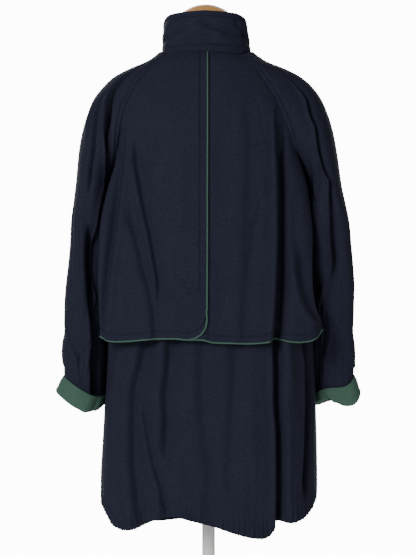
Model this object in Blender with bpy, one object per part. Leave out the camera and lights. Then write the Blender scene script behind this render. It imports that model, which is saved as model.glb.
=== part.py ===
"""Raglan wool coat with a split storm cape, worn by a limbless dress form on a pole and a round foot.

The coat's back faces -Y and its front +Y, up is +Z, and the origin is the middle of the foot's
underside. Tables and sizes below are in millimetres; meshes are made in metres.

Every cloth panel is a sheet of rows and columns worked out from the tables, then given a wall. Rows
above the underarm are numbered by level, from 0 at the neck seam to UNDERARM_LEVEL, and the back, front
and sleeve share their raglan seam points at each level. Below it the body and the sleeves are rings.
"""

import math
from collections import namedtuple

import bpy
import numpy as np
from mathutils import Vector
from mathutils.bvhtree import BVHTree

MM = 0.001

# Cloth.
CLOTH = 2.0                # one wall of the wool cloth with its backing
COLLAR_CLOTH = 2.6         # two layers and an interlining
LAYER = CLOTH + 0.6        # from one cloth to the next one lying on it
SEAM_GAP = 0.3             # between two pieces at a seam
PULL = SEAM_GAP / 2.0      # how far each piece stays behind the seam line
SHARED_SEAM_ANGLE = 32.0   # walls are mitred at seams up to twice this angle
UNDERARM_LEVEL = 9
UNDERARM_Z = 1165.0

# Columns across each piece.
BACK_COLUMNS = 16
FRONT_COLUMNS = 9
SLEEVE_COLUMNS = 16
CAPE_COLUMNS = 13
SKIRT_SPLIT = 2            # the skirt has this many columns for one above
GATHER_SPLIT = 3           # and the gathered hem this many for one of the skirt's
GATHER_DEPTH = 1.9         # from the middle of the cloth to a crest of the hem's gathers
GATHER_FREE = 34.0         # the hem is not gathered this far from the centre front
CUFF_GATHER_DEPTH = 1.8

# Front closing.
FRONT_LAP = 22.0           # each front passes the middle by this much
LAP_RAMP = 46.0            # width over which the upper front rises over the lower one
LAP_RISE = 3.6             # how far it stands off the lower one's outer face, its own wall included
BUTTON_RADIUS = 11.0
BUTTON_THICK = 3.2
BUTTON_SIDES = 12
BUTTON_LEVELS = (1292.0, 1200.0, 1108.0, 1016.0, 924.0, 832.0)

# Cape.
CAPE_EDGE_LEFT = -3.0      # the piped upper edge hangs just left of the middle
CAPE_EDGE_RIGHT = -40.0    # the lower half passes under it to here
CAPE_RISE_START = -96.0    # from here the upper half rises over the lower one
CAPE_RISE_END = -52.0
PIPING_RADIUS = 1.25
PIPING_SIDES = 5

# Collar.
COLLAR_CENTRE_X = -6.5
COLLAR_HALF_WIDTH = 78.5
COLLAR_HALF_DEPTH = 73.0
COLLAR_OPENING = 2.5       # half the gap between the collar's ends, at the centre front
COLLAR_ROWS = 3

# Stand.
FORM_COLUMNS = 24
TORSO_CENTRE_X = -2.5      # the torso leans a little to the left of the pole
NECK_CENTRE_X = -5.5       # and its neck and cap a little more
CAP_RADIUS = 56.0
CAP_RIM_Z = 1480.0
CAP_RIM_HEIGHT = 6.0
CAP_TOP_Z = 1511.0
POLE_RADIUS = 12.5
BASE_RADIUS = 175.0
BASE_HEIGHT = 14.0
BASE_BEVEL = 3.0
COLLET_RADIUS = 24.0
COLLET_HEIGHT = 34.0

# Raglan seam of the back, seen from behind, and the depth of the back at each level.
BackLevel = namedtuple("BackLevel", "level left right y z depth centre_z arc")
BACK_LEVELS = (
    BackLevel(0, 79, 60, -60, 1408, 78, 1411, 55),
    BackLevel(1, 101, 80, -73, 1394, 91, 1395, 58),
    BackLevel(2, 121, 96, -83, 1370, 104, 1370, 62),
    BackLevel(3, 138, 112, -89, 1345, 114, 1345, 66),
    BackLevel(4, 151, 127, -91, 1320, 120, 1320, 70),
    BackLevel(5, 160, 138, -89, 1297, 124, 1297, 73),
    BackLevel(6, 166, 150, -82, 1267, 126, 1267, 77),
    BackLevel(7, 172, 160, -66, 1235, 126, 1235, 82),
    BackLevel(8, 179, 173, -38, 1200, 125, 1200, 86),
    BackLevel(9, 188, 188, 0, 1165, 123, 1165, 90),
)

# The same for the front, where the neck is cut lower.
FrontLevel = namedtuple("FrontLevel", "level x y z depth centre_z arc")
FRONT_LEVELS = (
    FrontLevel(0, 68, 62, 1372, 86, 1345, 60),
    FrontLevel(1, 88, 78, 1352, 96, 1328, 62),
    FrontLevel(2, 108, 90, 1328, 105, 1308, 65),
    FrontLevel(3, 124, 98, 1303, 113, 1286, 68),
    FrontLevel(4, 136, 101, 1277, 119, 1263, 70),
    FrontLevel(5, 146, 98, 1250, 124, 1240, 73),
    FrontLevel(6, 155, 88, 1225, 127, 1218, 77),
    FrontLevel(7, 164, 68, 1200, 129, 1197, 82),
    FrontLevel(8, 175, 38, 1180, 130, 1179, 86),
    FrontLevel(9, 188, 0, 1165, 130, 1165, 90),
)

# Shoulder line of the sleeves and the oval that each level's arc is part of.
TopLevel = namedtuple("TopLevel", "level left right z half_width half_depth turn")
TOP_LEVELS = (
    TopLevel(0, 91, 83, 1421, 12, 61, 80),
    TopLevel(1, 118, 112, 1401, 24, 76, 77),
    TopLevel(2, 152, 147, 1387, 36, 88, 77),
    TopLevel(3, 182, 178, 1371, 46, 96, 77),
    TopLevel(4, 205, 202, 1349, 53, 97, 82),
    TopLevel(5, 222, 218, 1326, 57, 94, 92),
    TopLevel(6, 234, 231, 1295, 54, 90, 105),
    TopLevel(7, 243, 241, 1260, 46, 86, 124),
    TopLevel(8, 250, 249, 1215, 39, 82, 150),
    TopLevel(9, 255, 256, 1165, 33.5, 80, 180),
)

# Rings of the hanging sleeves below the underarm; tilt is how much a ring falls towards the body.
SleeveRing = namedtuple("SleeveRing", "z inner outer centre_y half_depth tilt")
SLEEVE_RINGS = {
    "left": (
        SleeveRing(1165, 189.2, 255, 0, 80, 0.0),
        SleeveRing(1130, 191, 259, 3, 79, 0.0),
        SleeveRing(1092, 192, 264, 6, 77, 0.0),
        SleeveRing(1050, 192, 267, 11, 75, 0.0),
        SleeveRing(1005, 192, 271, 16, 71, 0.0),
        SleeveRing(960, 193, 276, 22, 67, 0.0),
        SleeveRing(920, 194, 279, 27, 64, 0.03),
        SleeveRing(882, 196, 279, 32, 62, 0.08),
        SleeveRing(852, 198, 280, 36, 60, 0.16),
        SleeveRing(828, 199, 281, 39, 58, 0.26),
        SleeveRing(808, 202.5, 280, 41, 57, 0.36),
        SleeveRing(788, 205, 277, 42, 55, 0.46),
    ),
    "right": (
        SleeveRing(1165, 189.2, 256, 0, 80, 0.0),
        SleeveRing(1130, 192, 262, 3, 79, 0.0),
        SleeveRing(1092, 196, 268, 6, 77, 0.0),
        SleeveRing(1050, 199, 273, 11, 75, 0.0),
        SleeveRing(1005, 203, 278, 16, 71, 0.0),
        SleeveRing(960, 208, 281, 22, 67, 0.0),
        SleeveRing(920, 212, 281, 27, 64, 0.02),
        SleeveRing(882, 212, 279, 32, 62, 0.05),
        SleeveRing(852, 210, 279, 36, 60, 0.10),
        SleeveRing(828, 208, 280, 39, 58, 0.17),
        SleeveRing(808, 210, 280, 41, 57, 0.25),
        SleeveRing(790, 212, 277, 42, 55, 0.32),
    ),
}
CUFF_GATHER_RINGS = (0.0, 0.6, 1.0)     # share of the gather's depth on the rings above the cuff

# Turned back cuffs, down their outside: from the free edge, which stands at the top, to the fold.
# lift raises the ring where it faces the body; wave is a soft fold of its hanging edge.
CuffRing = namedtuple("CuffRing", "z inner outer centre_y half_depth tilt lift wave")
CUFF_RINGS = {
    "left": (
        CuffRing(772, 199, 281, 43, 60, 0.58, 6, 0),
        CuffRing(757, 199, 287, 43, 63, 0.60, 14, 1),
        CuffRing(742, 198.8, 292, 43, 65, 0.62, 26, 2),
        CuffRing(733.5, 199, 295.5, 43, 66, 0.62, 33, 3),
    ),
    "right": (
        CuffRing(776, 206, 282, 43, 60, 0.36, -4, 4),
        CuffRing(764, 205, 287, 43, 63, 0.34, -1, 5),
        CuffRing(754, 204.5, 291, 43, 65, 0.32, 1, 7),
        CuffRing(746.5, 205, 294, 43, 66, 0.30, 3, 8),
    ),
}
# Round the fold and up inside to the sleeve's end: how far in and how far up from the last ring.
FoldPoint = namedtuple("FoldPoint", "inset rise")
CUFF_FOLD = (
    FoldPoint(1.2, -2.8), FoldPoint(5.0, -4.2), FoldPoint(11.0, -4.2),
    FoldPoint(16.5, -1.0), FoldPoint(19.0, 4.0), FoldPoint(19.0, 12.0),
)

# Rings of the body below the underarm.
BodyRing = namedtuple("BodyRing", "z left right back front square")
BODY_RINGS = (
    BodyRing(1165, 188, 188, 123, 130, 2.0),
    BodyRing(1080, 185, 186, 121, 131, 2.1),
    BodyRing(990, 186, 188, 123, 134, 2.2),
    BodyRing(920, 189, 191, 128, 138, 2.3),
    BodyRing(868, 192, 196, 133, 141, 2.4),
    BodyRing(800, 195, 200, 138, 145, 2.4),
    BodyRing(733, 199, 204, 142, 148, 2.4),
    BodyRing(660, 204, 207, 146, 151, 2.4),
    BodyRing(600, 207, 208, 148, 152, 2.4),
    BodyRing(560, 206, 206, 147, 151, 2.4),
    BodyRing(515, 200, 201, 144, 147, 2.4),
)

# Rows of the back and fronts below the underarm, as shares of the way down to the hem.
ROWS_UNDER_CAPE = (0.14, 0.28, 0.40)
ROWS_SKIRT = (0.455, 0.52, 0.585, 0.65, 0.715, 0.78, 0.845, 0.905, 0.945)
ROWS_GATHERED = (0.966, 0.984, 1.0)
GATHER_SHARE = (0.55, 1.0, 0.9)         # of the gathers' depth on those rows

# Heights of the hem across the back and the front.
HemPoint = namedtuple("HemPoint", "x z")
HEM_BACK = (
    HemPoint(-200, 556), HemPoint(-192, 541), HemPoint(-180, 518), HemPoint(-157, 512),
    HemPoint(-139, 515), HemPoint(-118, 525), HemPoint(-92, 536), HemPoint(-66, 541),
    HemPoint(-34, 534), HemPoint(-10, 528), HemPoint(25, 517), HemPoint(53, 508),
    HemPoint(80, 501), HemPoint(100, 499), HemPoint(113, 503), HemPoint(122, 514),
    HemPoint(130, 529), HemPoint(152, 528), HemPoint(172, 533), HemPoint(190, 548),
    HemPoint(201, 568),
)
HEM_FRONT = (
    HemPoint(-200, 556), HemPoint(-184, 528), HemPoint(-150, 512), HemPoint(-100, 506),
    HemPoint(-50, 510), HemPoint(0, 514), HemPoint(60, 509), HemPoint(120, 506),
    HemPoint(165, 516), HemPoint(188, 545), HemPoint(201, 568),
)

# The cape, from the level where it leaves the raglan seam down to its hem.
CapeDrop = namedtuple("CapeDrop", "z left right y depth arc")
CAPE_DROPS = (
    CapeDrop(1235, 172, 160, -66, 134, 82),
    CapeDrop(1200, 181, 173, -74, 137, 82),
    CapeDrop(1160, 194, 185, -80, 139, 82),
    CapeDrop(1115, 203, 194, -85, 141, 82),
    CapeDrop(1070, 208, 199, -88, 142, 82),
    CapeDrop(1020, 209, 199, -90, 143, 82),
    CapeDrop(975, 209, 199, -92, 144, 82),
    CapeDrop(935, 209, 202, -92, 145, 82),
    CapeDrop(905, 208, 208, -91, 146, 82),
    CapeDrop(868, 207, 214, -89, 147, 82),
)
CAPE_TOP_LEVELS = 7
CAPE_ROOM = (0, 0, 0, 1, 3, 5, 7, 8)     # the cape's extra depth over the back, by level
CAPE_ROWS = (0.0, 0.12, 0.24, 0.37, 0.50, 0.62, 0.74, 0.85, 0.93, 1.0)
CAPE_HEM_LEFT = (
    HemPoint(-209, 880), HemPoint(-203, 875), HemPoint(-190, 870), HemPoint(-173, 868),
    HemPoint(-150, 869), HemPoint(-127, 871), HemPoint(-90, 874), HemPoint(-60, 874),
    HemPoint(-40, 872), HemPoint(-29, 874), HemPoint(-18, 879), HemPoint(-10, 887),
    HemPoint(-5, 897), HemPoint(-3, 908),
)
CAPE_HEM_RIGHT = (
    HemPoint(-40, 872), HemPoint(-12, 872), HemPoint(8, 867), HemPoint(36, 866),
    HemPoint(73, 865), HemPoint(99, 866), HemPoint(114, 868), HemPoint(122, 875),
    HemPoint(137, 872), HemPoint(152, 868), HemPoint(170, 867), HemPoint(190, 869),
    HemPoint(203, 876), HemPoint(214, 892),
)

# Folds: depth is outward, widths are to each side of the fold's line as seen from outside the
# panel, and the line is given by points (height, place across).
Fold = namedtuple("Fold", "depth width_low width_high line")
CAPE_FOLDS = (
    Fold(5, 13, 9, ((1225, -156), (1150, -161), (1076, -169), (1020, -180), (964, -187), (880, -197))),
    Fold(-3.5, 20, 20, ((1196, -131), (1140, -122), (1066, -109), (1010, -100), (973, -94))),
    Fold(-3, 16, 16, ((1085, -146), (1038, -131), (992, -118), (945, -111), (889, -103))),
    Fold(-12, 9, 17, ((1250, 126), (1187, 129), (1094, 131), (1001, 129), (945, 126), (874, 121))),
    Fold(4, 12, 7, ((1250, 108), (1187, 111), (1094, 113), (1001, 111), (945, 108), (874, 103))),
    Fold(-3.5, 18, 18, ((1270, 73), (1150, 73), (1057, 66), (945, 62), (875, 60))),
    Fold(-2, 14, 14, ((1262, 44), (1200, 42), (1131, 40))),
    Fold(6, 14, 10, ((1085, 150), (1020, 161), (973, 172), (932, 187), (898, 206))),
)
CAPE_FOLD_TOP = 1250.0      # the cape lies smooth above this height
SKIRT_FOLDS = (
    Fold(4, 14, 10, ((900, -168), (860, -171), (813, -180), (756, -189))),
    Fold(-3, 14, 14, ((900, -105), (852, -113), (777, -128))),
    Fold(-7, 18, 15, ((795, -134), (721, -141), (646, -139), (571, -134), (524, -128))),
    Fold(-4, 13, 13, ((722, -124), (685, -114), (647, -103), (592, -90), (545, -85))),
    Fold(-8, 12, 15, ((900, -76), (861, -77), (796, -81), (722, -85), (685, -88))),
    Fold(-4, 20, 20, ((900, -10), (862, -10), (759, -10), (685, -5), (611, 3), (536, 8))),
    Fold(-4, 13, 13, ((900, 45), (862, 46), (796, 47), (722, 46))),
    Fold(-12, 12, 20, ((900, 118), (861, 120), (759, 124), (684, 127), (610, 130), (556, 131))),
    Fold(4, 14, 9, ((900, 96), (861, 97), (759, 101), (684, 104), (610, 107), (556, 109))),
    Fold(-6, 9, 9, ((900, 178), (860, 178), (794, 178), (718, 175), (643, 173), (558, 171))),
)
UNDER_CAPE_FOLDS = (
    Fold(-8, 24, 15, ((1250, 126), (1187, 129), (1094, 131), (1001, 129), (945, 126))),
)
FRONT_FOLDS = (
    Fold(-5, 20, 16, ((1090, -118), (980, -122), (860, -126), (700, -130), (560, -128))),
    Fold(-4, 16, 16, ((930, -76), (800, -80), (660, -86), (560, -88))),
    Fold(4, 14, 14, ((1000, -150), (860, -156), (700, -160), (600, -160))),
    Fold(-6, 14, 20, ((1110, 112), (980, 118), (860, 124), (700, 128), (560, 132))),
    Fold(-4, 16, 16, ((900, 66), (780, 70), (650, 76), (560, 80))),
    Fold(4, 14, 14, ((1010, 148), (860, 152), (700, 156), (600, 158))),
)
# On a sleeve the place across is a share of the way round: 0 outside, -1 the back seam or underarm.
SLEEVE_FOLDS = {
    "left": (
        Fold(-7, 15, 12, (
            (1310, -0.80), (1284, -0.79), (1227, -0.74), (1180, -0.70), (1120, -0.66), (1060, -0.62),
        )),
        Fold(-4, 12, 12, ((1289, -0.50), (1247, -0.48), (1190, -0.46))),
        Fold(4, 14, 12, ((1219, -0.26), (1153, -0.28), (1077, -0.33), (1001, -0.41), (944, -0.46))),
        Fold(-3, 10, 10, ((897, -0.18), (859, -0.34), (835, -0.43))),
        Fold(-5, 18, 18, ((1180, 0.62), (1080, 0.60), (960, 0.55), (880, 0.5))),
        Fold(-4, 14, 14, ((1120, 0.28), (1000, 0.33), (900, 0.30))),
    ),
    "right": (
        Fold(4, 12, 9, (
            (1310, -0.88), (1275, -0.78), (1218, -0.62), (1161, -0.52), (1077, -0.50), (1020, -0.52),
        )),
        Fold(-6, 10, 14, ((1310, -0.76), (1275, -0.66), (1218, -0.50), (1161, -0.40), (1100, -0.38))),
        Fold(4, 12, 12, ((1020, -0.52), (982, -0.60), (945, -0.72))),
        Fold(-4, 16, 16, ((1060, -0.26), (980, -0.30), (900, -0.34), (850, -0.34))),
        Fold(-5, 18, 18, ((1180, 0.60), (1080, 0.62), (960, 0.57), (880, 0.5))),
        Fold(-4, 14, 14, ((1100, 0.30), (1000, 0.26), (900, 0.34))),
    ),
}
FOLD_FADE = 46.0            # how far past its ends a fold dies away
SLEEVE_HALF_GIRTH = 190.0

# The dress form's torso.
FormRing = namedtuple("FormRing", "z half_width back front")
FORM_RINGS = (
    FormRing(1412, 60, 57, 47),
    FormRing(1405, 72, 62, 48),
    FormRing(1399, 104, 68, 50),
    FormRing(1388, 139.6, 74, 54),
    FormRing(1376, 157, 79, 59),
    FormRing(1360, 174, 84, 66),
    FormRing(1335, 182, 92, 78),
    FormRing(1300, 180, 100, 94),
    FormRing(1255, 168, 105, 110),
    FormRing(1200, 152, 105, 118),
    FormRing(1150, 145, 102, 116),
    FormRing(1060, 126, 92, 98),
    FormRing(980, 146, 104, 104),
    FormRing(900, 164, 114, 110),
    FormRing(820, 168, 118, 112),
    FormRing(740, 162, 112, 108),
)
NECK_RINGS = (
    FormRing(1412.3, 57, 55, 45),
    FormRing(1432.0, 56, 55, 50),
    FormRing(1479.7, 54.5, 54.5, 54.5),
)

Finish = namedtuple("Finish", "colour roughness metallic")
FINISHES = {
    "navy_wool": Finish((0.0152, 0.0194, 0.0343), 0.92, 0.0),
    "green_wool": Finish((0.0648, 0.1356, 0.0953), 0.90, 0.0),
    "horn_button": Finish((0.020, 0.022, 0.030), 0.35, 0.0),
    "form_linen": Finish((0.62, 0.56, 0.46), 0.90, 0.0),
    "varnished_wood": Finish((0.60, 0.33, 0.12), 0.30, 0.0),
    "white_powder_coat": Finish((0.86, 0.86, 0.86), 0.45, 0.0),
}


def clear_scene():
    """Remove what a new Blender file holds."""
    for item in list(bpy.data.objects):
        bpy.data.objects.remove(item, do_unlink=True)


def finish(name):
    """Return the material of that name, made on first use."""
    material = bpy.data.materials.get(name)
    if material is None:
        look = FINISHES[name]
        material = bpy.data.materials.new(name)
        material.use_nodes = True
        shader = material.node_tree.nodes["Principled BSDF"]
        shader.inputs["Base Color"].default_value = (*look.colour, 1.0)
        shader.inputs["Roughness"].default_value = look.roughness
        shader.inputs["Metallic"].default_value = look.metallic
        material.diffuse_color = (*look.colour, 1.0)
    return material


def add_object(name, points, faces, material, smooth_degrees=50.0):
    """Add one closed mesh, given in millimetres, as an object."""
    mesh = bpy.data.meshes.new(name)
    mesh.from_pydata([tuple(point) for point in np.asarray(points) * MM], [], [tuple(map(int, f)) for f in faces])
    mesh.validate()
    mesh.update()
    mesh.shade_smooth()
    mesh.set_sharp_from_angle(angle=math.radians(smooth_degrees))
    mesh.materials.append(finish(material))
    item = bpy.data.objects.new(name, mesh)
    bpy.context.scene.collection.objects.link(item)
    return item


def smooth_step(value):
    """Go from 0 to 1 with level ends as value goes from 0 to 1."""
    share = np.clip(value, 0.0, 1.0)
    return share * share * (3.0 - 2.0 * share)


def curve(keys, values, at):
    """Read a smooth curve through (keys, values) that makes no bumps of its own."""
    order = np.argsort(keys)
    keys = np.asarray(keys, dtype=float)[order]
    values = np.asarray(values, dtype=float)[order]
    rise = np.diff(values) / np.diff(keys)
    slope = np.empty_like(values)
    slope[0], slope[-1] = rise[0], rise[-1]
    same = rise[:-1] * rise[1:] > 0.0
    total = np.where(same, rise[:-1] + rise[1:], 1.0)
    slope[1:-1] = np.where(same, 2.0 * rise[:-1] * rise[1:] / total, 0.0)
    at = np.asarray(at, dtype=float)
    span = np.clip(np.searchsorted(keys, at) - 1, 0, len(keys) - 2)
    width = keys[span + 1] - keys[span]
    u = np.clip((at - keys[span]) / width, 0.0, 1.0)
    return (
        values[span] * (1 + 2 * u) * (1 - u) ** 2
        + slope[span] * width * u * (1 - u) ** 2
        + values[span + 1] * u * u * (3 - 2 * u)
        + slope[span + 1] * width * u * u * (u - 1)
    )


def read(table, key, column, at):
    """Read one column of a table as a smooth curve over its key column."""
    return curve([getattr(row, key) for row in table], [getattr(row, column) for row in table], at)


def signed_power(value, power):
    """Raise the size of a value to a power and keep its sign."""
    return np.sign(value) * np.abs(value) ** power


def fold_height(folds, height, across, scale=1.0):
    """Sum the folds at points given by their height and their place across."""
    total = np.zeros_like(height)
    for fold in folds:
        heights = [point[0] for point in fold.line]
        places = [point[1] for point in fold.line]
        distance = (across - curve(heights, places, height)) * scale
        width = np.where(distance < 0.0, fold.width_low, fold.width_high)
        fade = smooth_step(1.0 - (height - max(heights)) / FOLD_FADE)
        fade = fade * smooth_step(1.0 - (min(heights) - height) / FOLD_FADE)
        total += fold.depth * np.exp(-((distance / width) ** 2)) * fade
    return total


# Sheets -------------------------------------------------------------------------------------------

class Sheet:
    """One cloth panel as rows of points, seen from outside: left to right and top to bottom."""

    def __init__(self, rows):
        """Join the rows, whose counts of spans may grow by a whole factor from one to the next."""
        self.rows = []
        points, seen = [], {}
        for row in rows:
            numbers = []
            for point in np.asarray(row, dtype=float):
                key = tuple(np.round(point, 3))
                if key not in seen:
                    seen[key] = len(points)
                    points.append(point)
                numbers.append(seen[key])
            self.rows.append(numbers)
        self.base = np.array(points)
        self.points = self.base.copy()
        faces = []
        for upper, lower in zip(self.rows, self.rows[1:]):
            faces += bridge(upper, lower)
        self.faces = np.array([face for face in faces if len(set(face)) == 3])

    def vertex_sums(self):
        """Return each vertex's sum of the normals of the faces round it."""
        corner = self.points[self.faces]
        normal = np.cross(corner[:, 1] - corner[:, 0], corner[:, 2] - corner[:, 0])
        total = np.zeros_like(self.points)
        for place in range(3):
            np.add.at(total, self.faces[:, place], normal)
        return total


def bridge(upper, lower):
    """Join two rows of vertex numbers with triangles."""
    split = (len(lower) - 1) // (len(upper) - 1)
    faces = []
    for place in range(len(upper) - 1):
        left, right = upper[place], upper[place + 1]
        below = lower[place * split:(place + 1) * split + 1]
        middle = (split + 1) // 2
        faces += [(left, below[step], below[step + 1]) for step in range(middle)]
        faces.append((left, below[middle], right))
        faces += [(right, below[step], below[step + 1]) for step in range(middle, split)]
    return faces


def unit(vectors):
    """Scale vectors to a length of one."""
    return vectors / np.maximum(np.linalg.norm(vectors, axis=-1, keepdims=True), 1e-9)


def seam_normals(sheets, sharpest=180.0):
    """Return the vertex normals of each sheet, the same on both sides of a seam.

    Where two sheets meet at more than twice the sharpest angle, in degrees, each keeps its own.
    """
    own = [unit(sheet.vertex_sums()) for sheet in sheets]
    shared = {}
    for sheet, normals in zip(sheets, own):
        for point, normal in zip(sheet.base, normals):
            key = tuple(np.round(point, 2))
            shared[key] = shared.get(key, 0.0) + normal
    result = []
    for sheet, normals in zip(sheets, own):
        total = unit(np.array([shared[tuple(np.round(point, 2))] for point in sheet.base]))
        agree = np.sum(total * normals, axis=1, keepdims=True) > math.cos(math.radians(sharpest))
        result.append(np.where(agree, total, normals))
    return result


def wall(sheet, normals, thickness, pull=PULL):
    """Give a sheet a wall: its points are the outer face, and its edges stay behind the seam line."""
    outer = sheet.points.copy()
    edges = {}
    for a, b, c in sheet.faces:
        for start, end in ((a, b), (b, c), (c, a)):
            edges[(start, end)] = True
    border = [edge for edge in edges if (edge[1], edge[0]) not in edges]
    along = np.zeros_like(outer)
    inward = np.zeros_like(outer)
    for start, end in border:
        step = outer[end] - outer[start]
        along[start] += step
        along[end] += step
    corner = outer[sheet.faces]
    middle = corner.mean(axis=1)
    for place in range(3):
        np.add.at(inward, sheet.faces[:, place], middle - corner[:, place])
    along = unit(along)
    inward -= along * np.sum(inward * along, axis=1, keepdims=True)
    inward = unit(inward)
    edge_points = sorted({number for edge in border for number in edge})
    outer[edge_points] += inward[edge_points] * pull
    inner = outer - normals * thickness
    count = len(outer)
    faces = [tuple(face) for face in sheet.faces]
    faces += [(a + count, c + count, b + count) for a, b, c in sheet.faces]
    for start, end in border:
        # Both pieces at a seam cut their rims along the same diagonal.
        if tuple(sheet.base[start]) < tuple(sheet.base[end]):
            faces += [(end, start, start + count), (end, start + count, end + count)]
        else:
            faces += [(end, start, end + count), (start, start + count, end + count)]
    return np.vstack([outer, inner]), faces


# Body ---------------------------------------------------------------------------------------------

def arc_row(left, right, edge_y, depth, edge_z, centre_z, arc, shares):
    """Return a row across the back or front: shares run from -1, the left edge, to 1, the right one.

    The row is an arc from the middle, at the given depth, to the edges; edge_y has the depth's sign.
    """
    turn = math.radians(arc)
    size = np.abs(shares)
    half = np.where(shares < 0.0, left, right)
    x = np.sign(shares) * half * np.sin(size * turn) / math.sin(turn)
    drop = (1.0 - np.cos(size * turn)) / (1.0 - math.cos(turn))
    y = depth + (edge_y - depth) * drop
    z = centre_z + (edge_z - centre_z) * shares ** 2
    return np.stack([x, y, z], axis=1)


def ring_row(z, shares, is_back):
    """Return points of the body's ring below the underarm, at each point's own height."""
    square = 2.0 / read(BODY_RINGS, "z", "square", z)
    half = np.where(shares < 0.0, read(BODY_RINGS, "z", "left", z), read(BODY_RINGS, "z", "right", z))
    depth = -read(BODY_RINGS, "z", "back", z) if is_back else read(BODY_RINGS, "z", "front", z)
    turn = shares * math.pi / 2.0
    x = half * signed_power(np.sin(turn), square)
    y = depth * np.abs(np.cos(turn)) ** square
    return np.stack([x, y, z], axis=1)


def body_row(down, shares, is_back):
    """Return a row of the back or front at a share of the way from the underarm to the hem."""
    table = HEM_BACK if is_back else HEM_FRONT
    lowest = np.full(len(shares), BODY_RINGS[-1].z)
    x = ring_row(lowest, shares, is_back)[:, 0]
    hem = curve([point.x for point in table], [point.z for point in table], x)
    return ring_row(UNDERARM_Z + (hem - UNDERARM_Z) * down, shares, is_back)


def gathered(row, depth):
    """Push every other point of a row in and out, square to the row, as gathers."""
    side = np.gradient(row, axis=0)
    out = unit(np.stack([side[:, 1], -side[:, 0], np.zeros(len(row))], axis=1))
    wave = np.where(np.arange(len(row)) % 2 == 0, 1.0, -1.0)
    wave[0] = wave[-1] = 0.0
    return row + out * (wave * depth)[:, None]


def body_rows(level_row, is_back, columns, limits):
    """Build all rows of the back or of one front, from the neck seam to the gathered hem.

    limits gives the shares of a row's two ends at a height.
    """
    rows = [level_row(level, columns) for level in range(UNDERARM_LEVEL + 1)]
    for down in ROWS_UNDER_CAPE:
        rows.append(body_row(down, np.linspace(*limits(down), columns + 1), is_back))
    for down in ROWS_SKIRT:
        rows.append(body_row(down, np.linspace(*limits(down), columns * SKIRT_SPLIT + 1), is_back))
    for down, share in zip(ROWS_GATHERED, GATHER_SHARE):
        shares = np.linspace(*limits(down), columns * SKIRT_SPLIT * GATHER_SPLIT + 1)
        row = body_row(down, shares, is_back)
        depth = np.full(len(row), share * GATHER_DEPTH)
        if not is_back:
            depth *= smooth_step((np.abs(row[:, 0]) - GATHER_FREE) / GATHER_FREE)
        rows.append(gathered(row, depth))
    return rows


def back_sheet():
    """Build the back, which runs behind the cape and down to the hem."""

    def level_row(level, columns):
        row = BACK_LEVELS[level]
        shares = np.linspace(-1.0, 1.0, columns + 1)
        return arc_row(row.left, row.right, row.y, -row.depth, row.z, row.centre_z, row.arc, shares)

    return Sheet(body_rows(level_row, True, BACK_COLUMNS, lambda _down: (-1.0, 1.0)))


def lap_share(half_width, arc=90.0, square=2.0):
    """Return the share past the middle at which a front's edge lies."""
    turn = math.radians(arc)
    return math.asin((FRONT_LAP / half_width) ** (square / 2.0) * math.sin(turn)) / turn


def front_sheet(side):
    """Build one front, from the side seam past the middle to its edge."""

    def level_row(level, columns):
        row = FRONT_LEVELS[level]
        past = lap_share(row.x, row.arc)
        low, high = (-past, 1.0) if side == "right" else (-1.0, past)
        shares = np.linspace(high, low, columns + 1)
        return arc_row(row.x, row.x, row.y, row.depth, row.z, row.centre_z, row.arc, shares)

    def limits(down):
        z = UNDERARM_Z + (HEM_FRONT[len(HEM_FRONT) // 2].z - UNDERARM_Z) * down
        past = lap_share(read(BODY_RINGS, "z", side, z), 90.0, read(BODY_RINGS, "z", "square", z))
        return (1.0, -past) if side == "right" else (past, -1.0)

    return Sheet(body_rows(level_row, False, FRONT_COLUMNS, limits))


# Sleeves ------------------------------------------------------------------------------------------

def side_sign(side):
    """Return -1 for the left side, which is the left one seen from behind, and 1 for the right."""
    return -1.0 if side == "left" else 1.0


def sleeve_level(side, level, shares):
    """Return a sleeve's arc at a level, from the back seam (-1) over the shoulder to the front (1)."""
    top = TOP_LEVELS[level]
    back = BACK_LEVELS[level]
    front = FRONT_LEVELS[level]
    sign = side_sign(side)
    turn = math.radians(top.turn)
    centre_x = sign * (getattr(top, side) - top.half_width)

    def oval(share):
        angle = share * turn
        return np.stack([
            centre_x + sign * top.half_width * np.cos(angle),
            top.half_depth * np.sin(angle),
            np.zeros_like(angle),
        ], axis=-1)

    points = oval(shares)
    ends = {
        -1.0: np.array([sign * getattr(back, side), back.y, back.z]),
        1.0: np.array([sign * front.x, front.y, front.z]),
    }
    points[:, 2] = top.z
    for end, target in ends.items():
        weight = np.clip(shares * end, 0.0, 1.0) ** 2
        error = target - oval(np.array(end))
        error[2] = target[2] - top.z
        points += weight[:, None] * error
    return points


def tilted_ring(side, ring, shares):
    """Return a closed ring of a sleeve or cuff, from the underarm line round the outside and back."""
    sign = side_sign(side)
    half_width = (ring.outer - ring.inner) / 2.0
    angle = shares * math.pi
    x = (ring.outer + ring.inner) / 2.0 + half_width * np.cos(angle)
    y = ring.centre_y + ring.half_depth * np.sin(angle)
    z = ring.z + ring.tilt * half_width * np.cos(angle)
    return np.stack([sign * x, y, z], axis=1)


def sleeve_shares(side):
    """Return a sleeve's columns, seen from outside: from front to back on the left one."""
    shares = np.linspace(1.0, -1.0, SLEEVE_COLUMNS + 1)
    return shares if side == "left" else shares[::-1]


def cuff_ring(side, ring, shares):
    """Return a ring of a cuff with its lift and its wave."""
    row = tilted_ring(side, ring, shares)
    facing = ((1.0 - np.cos(shares * math.pi)) / 2.0) ** 2
    row[:, 2] += ring.lift * facing
    row[:, 2] += ring.wave * np.sin(shares * math.pi * 2.0) * np.where(shares < 0.0, 1.0, 0.3)
    return row


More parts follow.
